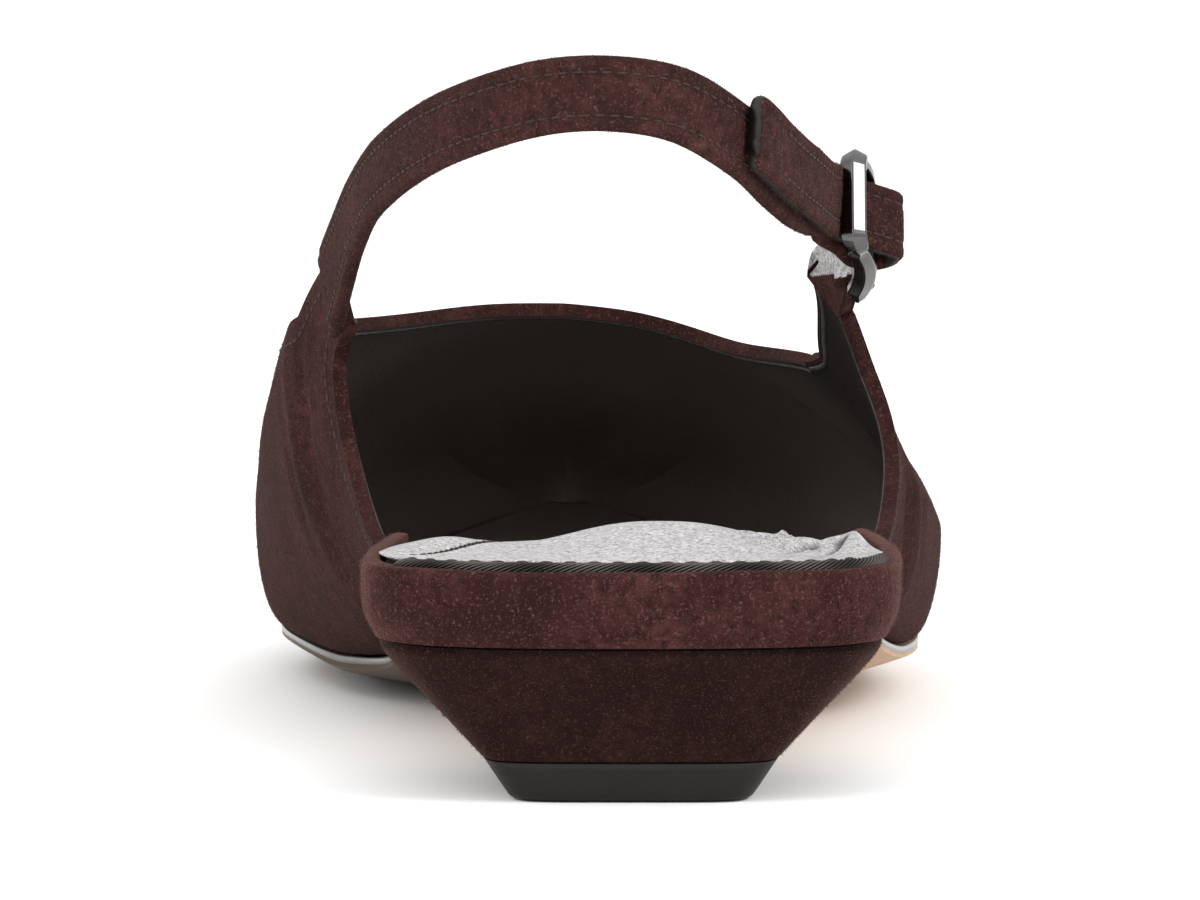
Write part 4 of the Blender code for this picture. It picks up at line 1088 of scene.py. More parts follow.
def nap(name, grids, slot, per_mm2, seed):
    """Suede fibres: thin closed slivers at seeded places of the grids, leaning off the surface.

    A cell is picked by its area, and a fibre's root and lean by its bilinear place in the cell.
    """
    corners = ((slice(None, -1), slice(None, -1)), (slice(None, -1), slice(1, None)),
               (slice(1, None), slice(1, None)), (slice(1, None), slice(None, -1)))
    cell, turned = ([np.concatenate([grid[part][corner].reshape(-1, 3) for grid in grids])
                     for corner in corners] for part in (0, 1))
    area = np.linalg.norm(np.cross(cell[2] - cell[0], cell[3] - cell[1]), axis=1) / 2
    pick = np.random.default_rng(seed)
    many = int(area.sum() * per_mm2)
    chosen = pick.choice(len(area), many, p=area / area.sum())
    u, v = pick.random((2, many, 1))
    share = ((1 - u) * (1 - v), u * (1 - v), u * v, (1 - u) * v)
    root = sum(part * corner[chosen] for part, corner in zip(share, cell))
    out = unit(sum(part * corner[chosen] for part, corner in zip(share, turned)))
    side = unit(np.cross(out, pick.normal(size=(many, 3))))
    other = np.cross(out, side)
    long = pick.uniform(*FIBRE_LENGTH, (many, 1))
    tip = root + unit(out + side * pick.uniform(*FIBRE_LEAN, (many, 1))) * long
    ring = [root - out * FIBRE_ROOT + (side * math.cos(angle) + other * math.sin(angle)) * FIBRE_HALF_WIDTH
            for angle in np.radians((0, 120, 240))]
    points = np.stack((*ring, tip), axis=1).reshape(-1, 3)
    one = np.array(((0, 1, 3), (1, 2, 3), (2, 0, 3), (0, 2, 1)))
    faces = (one[None] + np.arange(many)[:, None, None] * 4).reshape(-1, 3)
    return make(name, points, faces, [FIBRE])


# Heel's cover: rounding of its upper edge, and its turned-in ends and the top piece's, each as
# inset and height
HEEL_ROUND = 0.55
HEEL_ROUND_HEIGHT = 1.3
HEEL_LIP = ((5.0, 17.05), (1.1, 17.05), (0.45, 16.98))
HEEL_FOOT = ((0.35, 4.48), (2.0, 4.42))
TOP_PIECE_LIP = ((1.5, 4.36), (0.25, 4.36))
HEEL_RINGS = 90
TOP_PIECE_RINGS = 16


def build_heel():
    """Covered block: the suede turns in at the top, under the rand, and at the top piece."""
    rings = [heel_ring(*row) for row in heel_rows(HEEL, HEEL_RINGS)]
    high = rings[0][0, 2]
    rings = [shrunk(ring, HEEL_ROUND * ease((ring[0, 2] - high) / HEEL_ROUND_HEIGHT + 1) ** 2, ring[0, 2])
             for ring in rings]
    lip = [shrunk(rings[0], *row) for row in HEEL_LIP]
    foot = [shrunk(rings[-1], *row) for row in HEEL_FOOT]
    solid("heel_suede_cover", lip + rings + foot, [SHADED_HEEL_SUEDE], "heel")
    nap("heel_nap", [closed_grid(np.array(rings))], "heel_suede", per_mm2=4.0, seed=11)


def build_top_piece():
    """Wearing piece under the heel: the heel's D outline, rounded in at the floor."""
    rings = [heel_ring(*row) for row in heel_rows(TOP_PIECE, TOP_PIECE_RINGS)]
    rings = [shrunk(rings[0], *row) for row in TOP_PIECE_LIP] + rings
    solid("top_piece_rubber", rings, [RUBBER], "top_piece")


# Rand: points along it, rows of its face and the inset where the face ends, chamfer of its inner
# edge, waves as height, length and start, their share in height, rise of the lateral end with
# its place and length, tuck of the lower edge with its height, lap over the upper
RAND_POINTS = 240
RAND_ROWS = 57
RAND_FACE_DEPTH = 1.2
RAND_CHAMFER = (0.2, 0.4)
RAND_WAVES = ((0.07, 6.1, 0.0), (0.05, 2.7, 1.0))
RAND_WAVE_RISE = 0.8
RAND_LATERAL_RISE = 0.6
RAND_RISE_ALONG = (14.0, 20.0)
RAND_TUCK = 0.45
RAND_TUCK_HEIGHT = 1.1
RAND_LAP = 1.1


def build_rand():
    """Suede band: its soft profile carried along the seat outline, with a slight waviness."""
    outline = seat_outline(RAND_POINTS, RAND_END + RAND_LAP)
    down, aside = RAND_CHAMFER
    inner = ((RAND_BOTTOM, RAND_WALL), (RAND_TOP - down, RAND_WALL), (RAND_TOP, RAND_WALL - aside))
    face = smooth(RAND_PROFILE, np.linspace(0, len(RAND_PROFILE) - 1, RAND_ROWS))
    reach = lengths(outline)
    wave = sum(high * np.sin(reach / long + start) for high, long, start in RAND_WAVES)
    front = RAND_LATERAL_RISE * ramp(outline[:, 1], *RAND_RISE_ALONG) * (outline[:, 0] > 0)
    lines = []
    for height, inset in np.concatenate((face, inner)):
        share = np.clip((height - RAND_BOTTOM) / (RAND_TOP - RAND_BOTTOM), 0, 1)
        on_face = inset < RAND_FACE_DEPTH
        tuck = RAND_TUCK * (1 - ramp(height, RAND_BOTTOM, RAND_TUCK_HEIGHT)) ** 2 * on_face
        moved = inset_open(outline, inset + tuck - wave * share * on_face)
        lines.append(np.column_stack((moved, height + (wave * RAND_WAVE_RISE + front) * share)))
    rings = np.stack(lines, axis=1)
    solid("rand_suede_band", rings, [RAND_SUEDE], "heel_rand")
    nap("rand_nap", [closed_grid(rings[:, :RAND_ROWS])], "rand_suede", per_mm2=7.0, seed=12)


# Welt: points along and round it, place inside the rand's face, half sizes, rise over the rand
# and sink of its middle, number, lay and ridge of its strands, where it sinks in at the medial
# and the lateral side, length and least size of its tapered ends
WELT_POINTS = 1500
WELT_AROUND = 56
WELT_INSET = 1.7
WELT_SIZE = (0.66, 0.58)
WELT_RISE = 0.42
WELT_SINK = 0.2
WELT_STRANDS = 11
WELT_LAY = 9.2
WELT_RIDGE = 0.2
WELT_ENDS = (11.0, 19.0)
WELT_TAPER = 5.0
WELT_TIP = 0.02

# Painted highlights on the crests of the welt's strands: gain and offset over the twist, how far
# they wander and over what length
CREST = (1.6, -0.7)
CREST_WANDER = (0.4, 1.9)


def build_seat_welt():
    """Black twisted welt between rand and sock: an oval rope, its strands winding round it."""
    outline = seat_outline(WELT_POINTS)
    lateral = outline[:, 0] > 0
    outline = outline[outline[:, 1] < np.where(lateral, WELT_ENDS[1], WELT_ENDS[0])]
    reach = lengths(outline)
    thin = (ease(reach / WELT_TAPER) * ease((reach[-1] - reach) / WELT_TAPER) + WELT_TIP)[:, None]
    turn = circle(WELT_AROUND)[None, :]
    phase = WELT_STRANDS * (turn + 2 * math.pi * reach[:, None] / WELT_LAY)
    swell = (1 + WELT_RIDGE * np.cos(phase)) * thin
    across = WELT_INSET + WELT_SIZE[0] * np.cos(turn) * swell
    height = RAND_TOP + WELT_RISE * thin - WELT_SINK + WELT_SIZE[1] * np.sin(turn) * swell
    plan = outline[:, None, :] + left_of(outline)[:, None, :] * across[..., None]
    rings = np.concatenate((plan, height[..., None]), axis=2)
    welt = solid("seat_welt", rings, [WELT])
    # Painted highlight on the strands' crests and painted shade in the grooves between them
    wander = CREST_WANDER[0] * np.sin(reach / CREST_WANDER[1])[:, None]
    mark_points(welt, "crest_highlight", np.clip(CREST[0] * np.cos(phase) + CREST[1] + wander, 0, 1))


# Sole layers: points of their edges at the last and round the seat, and the first point's distance
# from the back
EDGE_POINTS = 400
SEAT_POINTS = 321
FIRST_POINT = 0.02


def sole_strip(back, front, count, inset):
    """Edges of a sole layer: along, medial x, lateral x and feather height."""
    size = last_sizes(np.linspace(0, len(LAST) - 1, EDGE_POINTS))
    seat = seat_outline(SEAT_POINTS, size["along"][0])
    middle = len(seat) // 2
    medial, lateral = (np.concatenate((half[:-1], np.stack((size[edge], size["along"]), axis=1)))
                       for half, edge in ((seat[:middle + 1][::-1], "feather_m_x"),
                                          (seat[middle:], "feather_l_x")))
    lift = np.concatenate((np.full(len(seat) - middle - 1, size["feather"][0]), size["feather"]))
    outline = np.concatenate((lateral, medial[::-1][1:]))
    moved = inset_open(outline, inset(outline[:, 1]))
    half = len(lateral)
    lateral = np.column_stack((moved[:half], lift))
    medial = moved[half - 1:][::-1]
    kept = (lateral[:, 1] > max(back, lateral[0, 1] + FIRST_POINT)) & (lateral[:, 1] < front)
    lateral = even(lateral[kept], count)
    along = lateral[:, 1]
    order = np.argsort(medial[:, 1])
    medial_x = np.interp(along, medial[order, 1], medial[order, 0])
    return along, medial_x, lateral[:, 0], lateral[:, 2]


def dish_share(width):
    """How far the sole is dished at a width: less where it is narrow."""
    return np.minimum(width / (BALL_WIDTH * DISH_FULL_WIDTH), 1.0)


def outsole_inset(along):
    """A little outside the last's feather edge all round."""
    return np.full(len(along), -SOLE_OVERHANG)


def insole_inset(along):
    """Inside the rand at the heel, inside the upper's turned-in edge in front of it."""
    share = ramp(along, UPPER_BACK, INSOLE_FLARE)
    return (RAND_WALL + 2 * GAP) * (1 - share) + (UPPER_WALL + GAP) * share


def insole_top(feather, width, across):
    """Heights across the insole, dished in front and flat over the heel seat."""
    low, high = DISH_FADE
    fade = dish_share(width) * np.clip((high - feather) / (high - low), 0, 1)
    return feather + INSOLE_THICKNESS - SOLE_DISH * fade * (1 - across ** 2)


def layer(strip, across):
    """Grids of x, y, feather height and width of a sole layer at the shares across it."""
    along, medial, lateral, lift = (part[:, None] for part in strip)
    width = lateral - medial
    x = (medial + lateral) / 2 + across[None, :] * width / 2
    return x, along + 0 * x, lift, width


# Outsole: rows and columns, its side downwards as share of the height and bulge, and how many
# bands of the side have lacquer
SOLE_ROWS = 180
SOLE_COLUMNS = 41
SOLE_SIDE = ((0.12, 0.06), (0.36, 0.10), (0.60, 0.04), (0.66, -0.25))
LACQUERED_BANDS = 3


def build_outsole():
    """Tan tread with a thin lacquered edge: top dished, tread full and flat under the ball."""
    core = np.sin(np.linspace(-math.pi / 2, math.pi / 2, SOLE_COLUMNS))
    x, y, feather, width = layer(sole_strip(SOLE_BACK, LENGTH, SOLE_ROWS, outsole_inset), core)
    fade = dish_share(width)
    top = feather - GAP - SOLE_DISH * fade * (1 - core ** 2)
    edge = feather - GAP - SOLE_EDGE
    middle = edge - SOLE_DISH * fade - (SOLE_MIDDLE - SOLE_EDGE) * fade
    bottom = np.maximum(edge + (middle - edge) * (1 - np.abs(core) ** SOLE_BELLY), 0.0)
    right, left = (
        np.stack([np.stack((x[:, end] + way * bulge, y[:, end],
                            top[:, end] * (1 - down) + bottom[:, end] * down), axis=1)
                  for down, bulge in SOLE_SIDE], axis=1)
        for end, way in ((-1, 1), (0, -1)))
    upper_face = np.stack((x, y, top), axis=2)
    tread = np.stack((x, y, bottom), axis=2)[:, ::-1]
    rings = np.concatenate((upper_face, right, tread, left[:, ::-1]), axis=1)
    around = rings.shape[1]
    number = np.arange(around)
    first = SOLE_COLUMNS - 1
    lacquered = (number >= first) & (number < first + LACQUERED_BANDS) | (number >= around - LACQUERED_BANDS)
    marks = with_ends(np.tile(lacquered.astype(int), len(rings) - 1), around)
    solid("outsole_leather", rings, [TAN, EDGE_FOIL], "outsole", marks=marks)


# Seat: how far it lies lower in front of the heel's middle, with place and length of the change,
# where the insole comes back up, and the insole's points along and across
SEAT_DIP = 1.2
SEAT_DIP_ALONG = (24.0, 24.0)
SEAT_DIP_END = (86.0, 12.0)
INSOLE_ROWS = 170
INSOLE_COLUMNS = 31


def seat_dip(y):
    """How far the seat lies lower in front of the heel's middle."""
    return SEAT_DIP * ramp(y, *SEAT_DIP_ALONG)


def build_insole():
    """Thin dished board under the sock."""
    core = np.linspace(-1, 1, INSOLE_COLUMNS)
    strip = sole_strip(0.0, LENGTH - INSOLE_TOE_GAP, INSOLE_ROWS, insole_inset)
    x, y, feather, width = layer(strip, core)
    height = insole_top(feather, width, core)
    top = np.stack((x, y, height - seat_dip(y) * (1 - ramp(y, *SEAT_DIP_END))), axis=2)
    low = np.stack((x, y, height - INSOLE_THICKNESS), axis=2)[:, ::-1]
    rings = np.concatenate((top, low), axis=1)
    solid("insole_board", rings, [BOARD], "insole")


# Sock: rows and columns, middle, height, half width and squareness of the hump, overhang over
# the welt and where it ends, thinning towards the waist and at the rim, lift on the welt with
# its length and end, softness of the rim, strength of the painted shade in the folds and its limit
SOCK_ROWS = 232
SOCK_COLUMNS = 165
SOCK_HUMP_SIDE = 3.2
SOCK_HUMP_TOP = 2.75
SOCK_HUMP_WIDTH = 11.5
SOCK_HUMP_POWER = 2.6
SOCK_OVERHANG = 0.75
SOCK_OVERHANG_END = (44.0, 8.0)
SOCK_THINNING = 0.3
SOCK_THINNING_ALONG = (22.0, 24.0)
SOCK_RIM_SHARE = 0.3
SOCK_LIFT = 0.75
SOCK_LIFT_REACH = 1.2
SOCK_LIFT_END = (16.0, 12.0)
SOCK_RIM_REACH = 0.8
FOLD_PAINTED_SHADE = 0.42
FOLD_SHADE_LIMIT = 0.9

# Seam on the sock: its route in plan, the fineness of the route, depth and half width of its
# groove, and height, distance and half width of the lips beside it
SOCK_SEAM = ((-25.2, 13.6), (-22.0, 15.6), (-18.6, 22.6), (-15.6, 31.5), (-13.6, 40.0))
SEAM_POINTS = 60
SEAM_STITCH_POINTS = 80
SEAM_GROOVE = (0.28, 0.45)
SEAM_LIPS = (0.12, 0.9, 0.5)

# Stitches: base of the sock under the seam and their lift over it; the whip stitches' lift, their
# end along the shoe, the place in plan that they face away from, and how far they face up
SEAM_BASE = RAND_TOP - 0.2
SEAM_STITCH_LIFT = 0.26
WHIP_LIFT = 0.2
WHIP_END = 9.0
WHIP_MIDDLE = (0.0, 30.0)
WHIP_RISE = 8.0

# Ripples: across, along, lean in degrees, half length, half width, height
SOCK_RIPPLES = (
    (13.2, 27.0, 50.0, 3.0, 0.55, 0.40),
    (14.6, 26.0, 42.0, 4.0, 0.60, 0.65),
    (15.4, 30.0, -30.0, 2.5, 0.50, 0.45),
    (16.0, 24.0, 35.0, 5.0, 0.50, -0.55),
    (16.9, 29.0, 15.0, 4.0, 0.55, 0.75),
    (17.8, 21.0, -25.0, 3.0, 0.50, 0.45),
    (18.3, 24.0, 28.0, 7.0, 0.60, 0.95),
    (19.5, 22.0, 20.0, 7.0, 0.50, -0.70),
    (20.6, 25.0, 32.0, 7.0, 0.70, 1.25),
    (22.2, 22.0, 12.0, 8.0, 0.55, -0.80),
    (24.4, 27.0, 2.0, 9.0, 1.40, 1.75),
    (-20.0, 32.0, 12.0, 9.0, 4.20, 1.05),
    (-23.5, 20.0, 30.0, 6.0, 1.00, 0.30),
    (-10.5, 22.0, 55.0, 6.0, 1.00, -0.18),
    (9.0, 14.0, -60.0, 7.0, 1.10, -0.15),
)


def sock_height(x, y):
    """Height over the sock's base: the pad's hump, its ripples and the pressed-in seam."""
    side = np.abs((x - SOCK_HUMP_SIDE) / SOCK_HUMP_WIDTH)
    rise = SOCK_HUMP_TOP * np.exp(-((y - PAD_HUMP_AT) / PAD_HUMP_LENGTH) ** 2 - side ** SOCK_HUMP_POWER)
    for across, along, lean, half_length, half_width, height in SOCK_RIPPLES:
        rise = rise + height * bell(x - across, y - along, lean, half_length, half_width)
    seam = through(SOCK_SEAM, SEAM_POINTS)
    gap = np.sqrt(((np.stack((x, y), axis=-1)[..., None, :] - seam) ** 2).sum(axis=-1)).min(axis=-1)
    deep, half_width = SEAM_GROOVE
    high, aside, half_lip = SEAM_LIPS
    return rise - deep * np.exp(-(gap / half_width) ** 2) + high * np.exp(-((gap - aside) / half_lip) ** 2)


def sock_surface(x, y, base, rim):
    """Height of the sock's face: a thin sheet, thinner towards the waist, with its relief."""
    sheet = PAD_EDGE * (1 - SOCK_THINNING * ramp(y, *SOCK_THINNING_ALONG))
    sheet = sheet * (SOCK_RIM_SHARE + (1 - SOCK_RIM_SHARE) * rim)
    return base - seat_dip(y) + sheet + sock_height(x, y) * rim


def sock_inset(along):
    """The insole's inset, less where the sock's edge lies on the welt."""
    return insole_inset(along) - SOCK_OVERHANG * (1 - ramp(along, *SOCK_OVERHANG_END))


def build_sock():
    """Silver sock over the heel pad, its thin edge lying on the welt, with painted shade where it is folded.
    """
    core = np.sin(np.linspace(-math.pi / 2, math.pi / 2, SOCK_COLUMNS))
    x, y, feather, width = layer(sole_strip(0.0, PAD_LENGTH, SOCK_ROWS, sock_inset), core)
    aside = (1 - np.abs(core)) * width / 2
    behind = y - y.min()
    edge_near = np.exp(-aside / SOCK_LIFT_REACH) + np.exp(-behind / SOCK_LIFT_REACH)
    lift = SOCK_LIFT * (1 - ramp(y, *SOCK_LIFT_END)) * np.minimum(edge_near, 1.0)
    base = insole_top(feather, width, core) + GAP + lift
    rim = (1 - np.exp(-aside / SOCK_RIM_REACH)) * (1 - np.exp(-behind / SOCK_RIM_REACH))
    upper_face = np.stack((x, y, sock_surface(x, y, base, rim)), axis=2)
    lower_face = np.stack((x, y, base - seat_dip(y)), axis=2)[:, ::-1]
    rings = np.concatenate((upper_face, lower_face), axis=1)
    sock = solid("silver_sock", rings, [SILVER], "sock_pad")
    # Painted shade: the colour is darkened where the relief bends into a fold
    slope = np.gradient(sock_height(x, y), axis=1) / np.gradient(x, axis=1)
    bend = np.gradient(slope, axis=1) / np.gradient(x, axis=1)
    fold = np.clip(bend * FOLD_PAINTED_SHADE, 0, FOLD_SHADE_LIMIT) * rim
    mark_points(sock, "fold", np.concatenate((fold, 0 * fold), axis=1))
    sew_sock(upper_face)


def sew_sock(upper_face):
    """Stitches along the sock's seam, and whip stitches round its edge at the back."""
    seam = even(through(SOCK_SEAM, SEAM_STITCH_POINTS), 2 * SEAM_STITCH_POINTS)
    height = sock_surface(seam[:, 0], seam[:, 1], SEAM_BASE, 1.0) + SEAM_STITCH_LIFT
    up = np.tile((0.0, 0.0, 1.0), (len(seam), 1))
    edge = np.concatenate((upper_face[:, 0][::-1], upper_face[0], upper_face[:, -1]))
    edge = edge[edge[:, 1] < WHIP_END]
    out = unit(np.column_stack((edge[:, :2] - WHIP_MIDDLE, np.full(len(edge), WHIP_RISE))))
    sewn("sock_seam_stitches", [(np.column_stack((seam, height)), up)],
         pitch=1.3, length=1.1, radius=0.17)
    sewn("sock_edge_stitches", [(edge + out * WHIP_LIFT, out)],
         pitch=2.6, length=1.5, radius=0.22)


# Sling and buckle

def buckle_axes():
    """Ways along the strap to the toe, across the strap upwards, and outwards."""
    pitch = math.radians(BUCKLE_PITCH)
    forward = np.array((0.0, math.cos(pitch), -math.sin(pitch)))
    across = np.array((0.0, math.sin(pitch), math.cos(pitch)))
    return forward, across, np.array((1.0, 0.0, 0.0))


def in_buckle(forward_by, across_by, out_by):
    """Point of the buckle's own frame; each distance may be an array."""
    forward, across, out = buckle_axes()
    ahead, up, aside = (np.asarray(value, float)[..., None] for value in (forward_by, across_by, out_by))
    return np.array(BUCKLE_CENTRE) + forward * ahead + across * up + out * aside


# Sling: points along it, along its fold and its bow, lap of its root on the upper, how thin and
# narrow the root is pressed and over what length, swell of its taper, rounding of its free end
SLING_POINTS = 260
FOLD_POINTS = 90
BOW_POINTS = 9
ROOT_LAP = 1.4
ROOT_SINK = 0.22
ROOT_NARROWING = 0.2
ROOT_SINK_LENGTH = 1.2
STRAP_TAPER_POWER = 1.5
SLING_TIP_CORNER = 1.6
SLING_TIP_ROUND = 0.8


def sling_path():
    """Middle line, width direction and half width of the sling, its fold and its free end."""
    half = STRAP_THICKNESS / 2
    layer_step = STRAP_THICKNESS + LAYER_GAP
    tip_depth = BUCKLE_REAR_DROP - REAR_BAR[1] / 2 - GAP - half
    sling_depth = tip_depth - layer_step
    root_low, root_high = last_points(*on_last(SLING_ROOT, -1).T) + np.outer(SLING_ROOT_FLARE, (1, 0, 0))
    root_way = unit(np.array(SLING_ROUTE[0]) - (root_low + root_high) / 2)
    root_in = unit(np.cross(root_way, root_high - root_low))
    root = (root_low + root_high) / 2 + root_in * UPPER_WALL / 2
    under_bar = in_buckle(BUCKLE_REAR, 0, sling_depth)
    root = root - root_way * ROOT_LAP
    route = np.array((tuple(root),) + SLING_ROUTE + (tuple(under_bar),))
    sling = through(route, SLING_POINTS)
    way = unit(np.gradient(sling, axis=0))
    sling_width = unit(np.array((0, 0, 1.0)) - way * way[:, 2:])
    outward = np.cross(sling_width, way)
    outward *= np.sign(outward[-1, 0])
    turn = np.radians(np.linspace(*FOLD_TURN, BOW_POINTS))
    fold_in = in_buckle(*np.array([(ahead, 0, out) for ahead, out in FOLD_IN]).T)
    bow = in_buckle(FOLD_RADIUS * np.cos(turn) - FOLD_BACK, 0 * turn, FOLD_RADIUS * np.sin(turn))
    fold_out = in_buckle(*np.array([(ahead, 0, out) for ahead, out in FOLD_OUT]).T)
    laid = (sling[:, 1] > SLING_TIP_ALONG) & (sling[:, 0] > 0)
    rise = SLING_TIP_RISE * np.clip((SLING_TIP_RISE_END - sling[:, 1:2]) / SLING_TIP_RISE_LENGTH, 0, 1)
    tip = (sling + outward * layer_step + sling_width * rise)[laid][::-1]
    tip_width = sling_width[laid][::-1]
    fold = through(np.concatenate((sling[-1:], fold_in, bow, fold_out, tip[:1])), FOLD_POINTS)[1:-1]
    across = np.tile(buckle_axes()[1], (len(fold), 1))
    centres = np.concatenate((sling, fold, tip))
    widths = np.concatenate((sling_width, across, tip_width))
    travelled = lengths(centres)
    taper = np.clip(1 - travelled / STRAP_TAPER_LENGTH, 0, 1)
    widths = widths + (unit(root_high - root_low) - widths) * taper[:, None]
    half_width = (STRAP_WIDTH + (STRAP_ROOT_WIDTH - STRAP_WIDTH) * taper ** STRAP_TAPER_POWER) / 2
    near_end = np.clip(1 - (travelled[-1] - travelled) / SLING_TIP_CORNER, 0, 1)
    half_width = half_width - SLING_TIP_CORNER * (1 - np.sqrt(1 - near_end ** 2)) * SLING_TIP_ROUND
    tangent = unit(np.gradient(centres, axis=0))
    widths = unit(widths - tangent * np.sum(widths * tangent, axis=1, keepdims=True))
    thick = np.cross(tangent, widths)
    return centres, widths, thick, half_width, len(sling), len(fold)


# Section of the strap: columns of a face, points of a round edge with its ends, depth of the
# edge's bow and its fullness as shares of half the thickness, fall and power of the crowned
# face, distance of the stitches from the edge, depth and half width of their groove
STRAP_COLUMNS = 33
STRAP_EDGE_POINTS = 9
STRAP_EDGE_BOW = 0.75
STRAP_EDGE_FULL = 0.97
STRAP_CROWN = (0.05, 6)
STITCH_IN = 1.75
STITCH_GROOVE = (0.14, 0.38)
STITCH_DEPTH = 0.10
# Middle bands of the round edge, which are painted, and the length of the slanted free end
PAINTED_BANDS = np.arange(2, 5)
SLING_SLANT_LENGTH = 6.0
# Points left free of stitches at the root, under the buckle, in the fold and at the free end,
# and the cross seam there: its points, and its lean and place along the strap
SEAM_SKIPS = (2, 8, 30, 14)
END_SEAM_POINTS = 12
END_SEAM_LEAN = 0.45
END_SEAM_PLACE = 0.3


def strap_section(half_width):
    """Closed sections of the strap as places across and through it: grooved, crowned faces and
    round edges."""
    half = STRAP_THICKNESS / 2
    flat = np.linspace(-1, 1, STRAP_COLUMNS)
    bow = np.radians(np.linspace(90, -90, STRAP_EDGE_POINTS)[1:-1])
    reach = (half_width - half * STRAP_EDGE_BOW)[:, None]
    face = flat[None, :] * reach
    from_edge = half_width[:, None] - np.abs(face)
    groove = STITCH_GROOVE[0] * np.exp(-((from_edge - STITCH_IN) / STITCH_GROOVE[1]) ** 2)
    top = half - groove - STRAP_CROWN[0] * np.abs(flat[None, :]) ** STRAP_CROWN[1]
    edge = reach + half * STRAP_EDGE_BOW * np.cos(bow)[None, :]
    edge_top = np.broadcast_to(half * STRAP_EDGE_FULL * np.sin(bow)[None, :], edge.shape)
    return (np.concatenate((face, edge, face[:, ::-1], -edge), axis=1),
            np.concatenate((top, edge_top, -top[:, ::-1], -edge_top), axis=1))


def build_sling():
    """Strap: its section carried along the sling, its fold and its slanted free end."""
    centres, widths, thick, half_width, sling_many, fold_many = sling_path()
    reach = lengths(centres)
    sunk = 1 - ROOT_SINK * (1 - ramp(reach, ROOT_LAP, ROOT_SINK_LENGTH))
    half_width = half_width * (1 - (1 - sunk) * ROOT_NARROWING)
    aside, deep = strap_section(half_width)
    deep = deep * sunk[:, None]
    rings = centres[:, None, :] + widths[:, None, :] * aside[..., None] + thick[:, None, :] * deep[..., None]
    slant = SLING_TIP_SLANT * np.clip(1 - (reach[-1] - reach) / SLING_SLANT_LENGTH, 0, 1)
    way = unit(np.gradient(centres, axis=0))
    rings = rings - way[:, None, :] * ((0.5 - aside / STRAP_WIDTH) * slant[:, None])[..., None]
    around = rings.shape[1]
    painted = np.isin(np.arange(around) % (around // 2), STRAP_COLUMNS + PAINTED_BANDS)
    free = np.arange(len(rings) - 1) > sling_many + fold_many // 2
    marks = with_ends((painted[None, :] & free[:, None]).astype(int).ravel(), around)
    solid("sling_suede_strap", rings, [STRAP_SUEDE, EDGE_PAINT], "sling_strap", marks=marks)
    nap("strap_nap", [closed_grid(rings)], "strap_suede", per_mm2=6.0, seed=13)
    inset = half_width - STITCH_IN
    height = STRAP_THICKNESS / 2 - STITCH_DEPTH
    at_root, at_buckle, in_fold, at_end = SEAM_SKIPS
    last = len(centres) - at_end
    seams = []
    for face, part in ((1, slice(at_root, sling_many - at_buckle)), (-1, slice(sling_many + in_fold, last))):
        for edge in (-1, 1):
            path = centres + widths * (edge * inset)[:, None] + face * thick * height
            seams.append((path[part], face * thick[part]))
    span = np.linspace(-1, 1, END_SEAM_POINTS)[:, None]
    end_path = centres[last] + widths[last] * span * inset[last] - thick[last] * height
    end_path = end_path + way[last] * (span * END_SEAM_LEAN + END_SEAM_PLACE)
    seams.append((end_path, np.tile(-thick[last], (END_SEAM_POINTS, 1))))
    sewn("strap_stitches", seams)


# Buckle: points round the frame and of a corner, start and length of the rear bar's section and
# of the end of the rails in shares of half the frame's length, how much less the rear bar drops,
# and points along and round the middle bar
BUCKLE_POINTS = 200
CORNER_POINTS = 12
REAR_SHARE = (0.76, 0.2)
RAIL_SHARE = (0.62, 0.26)
REAR_RISE = 0.1
BAR_POINTS = 9
BAR_AROUND = 16


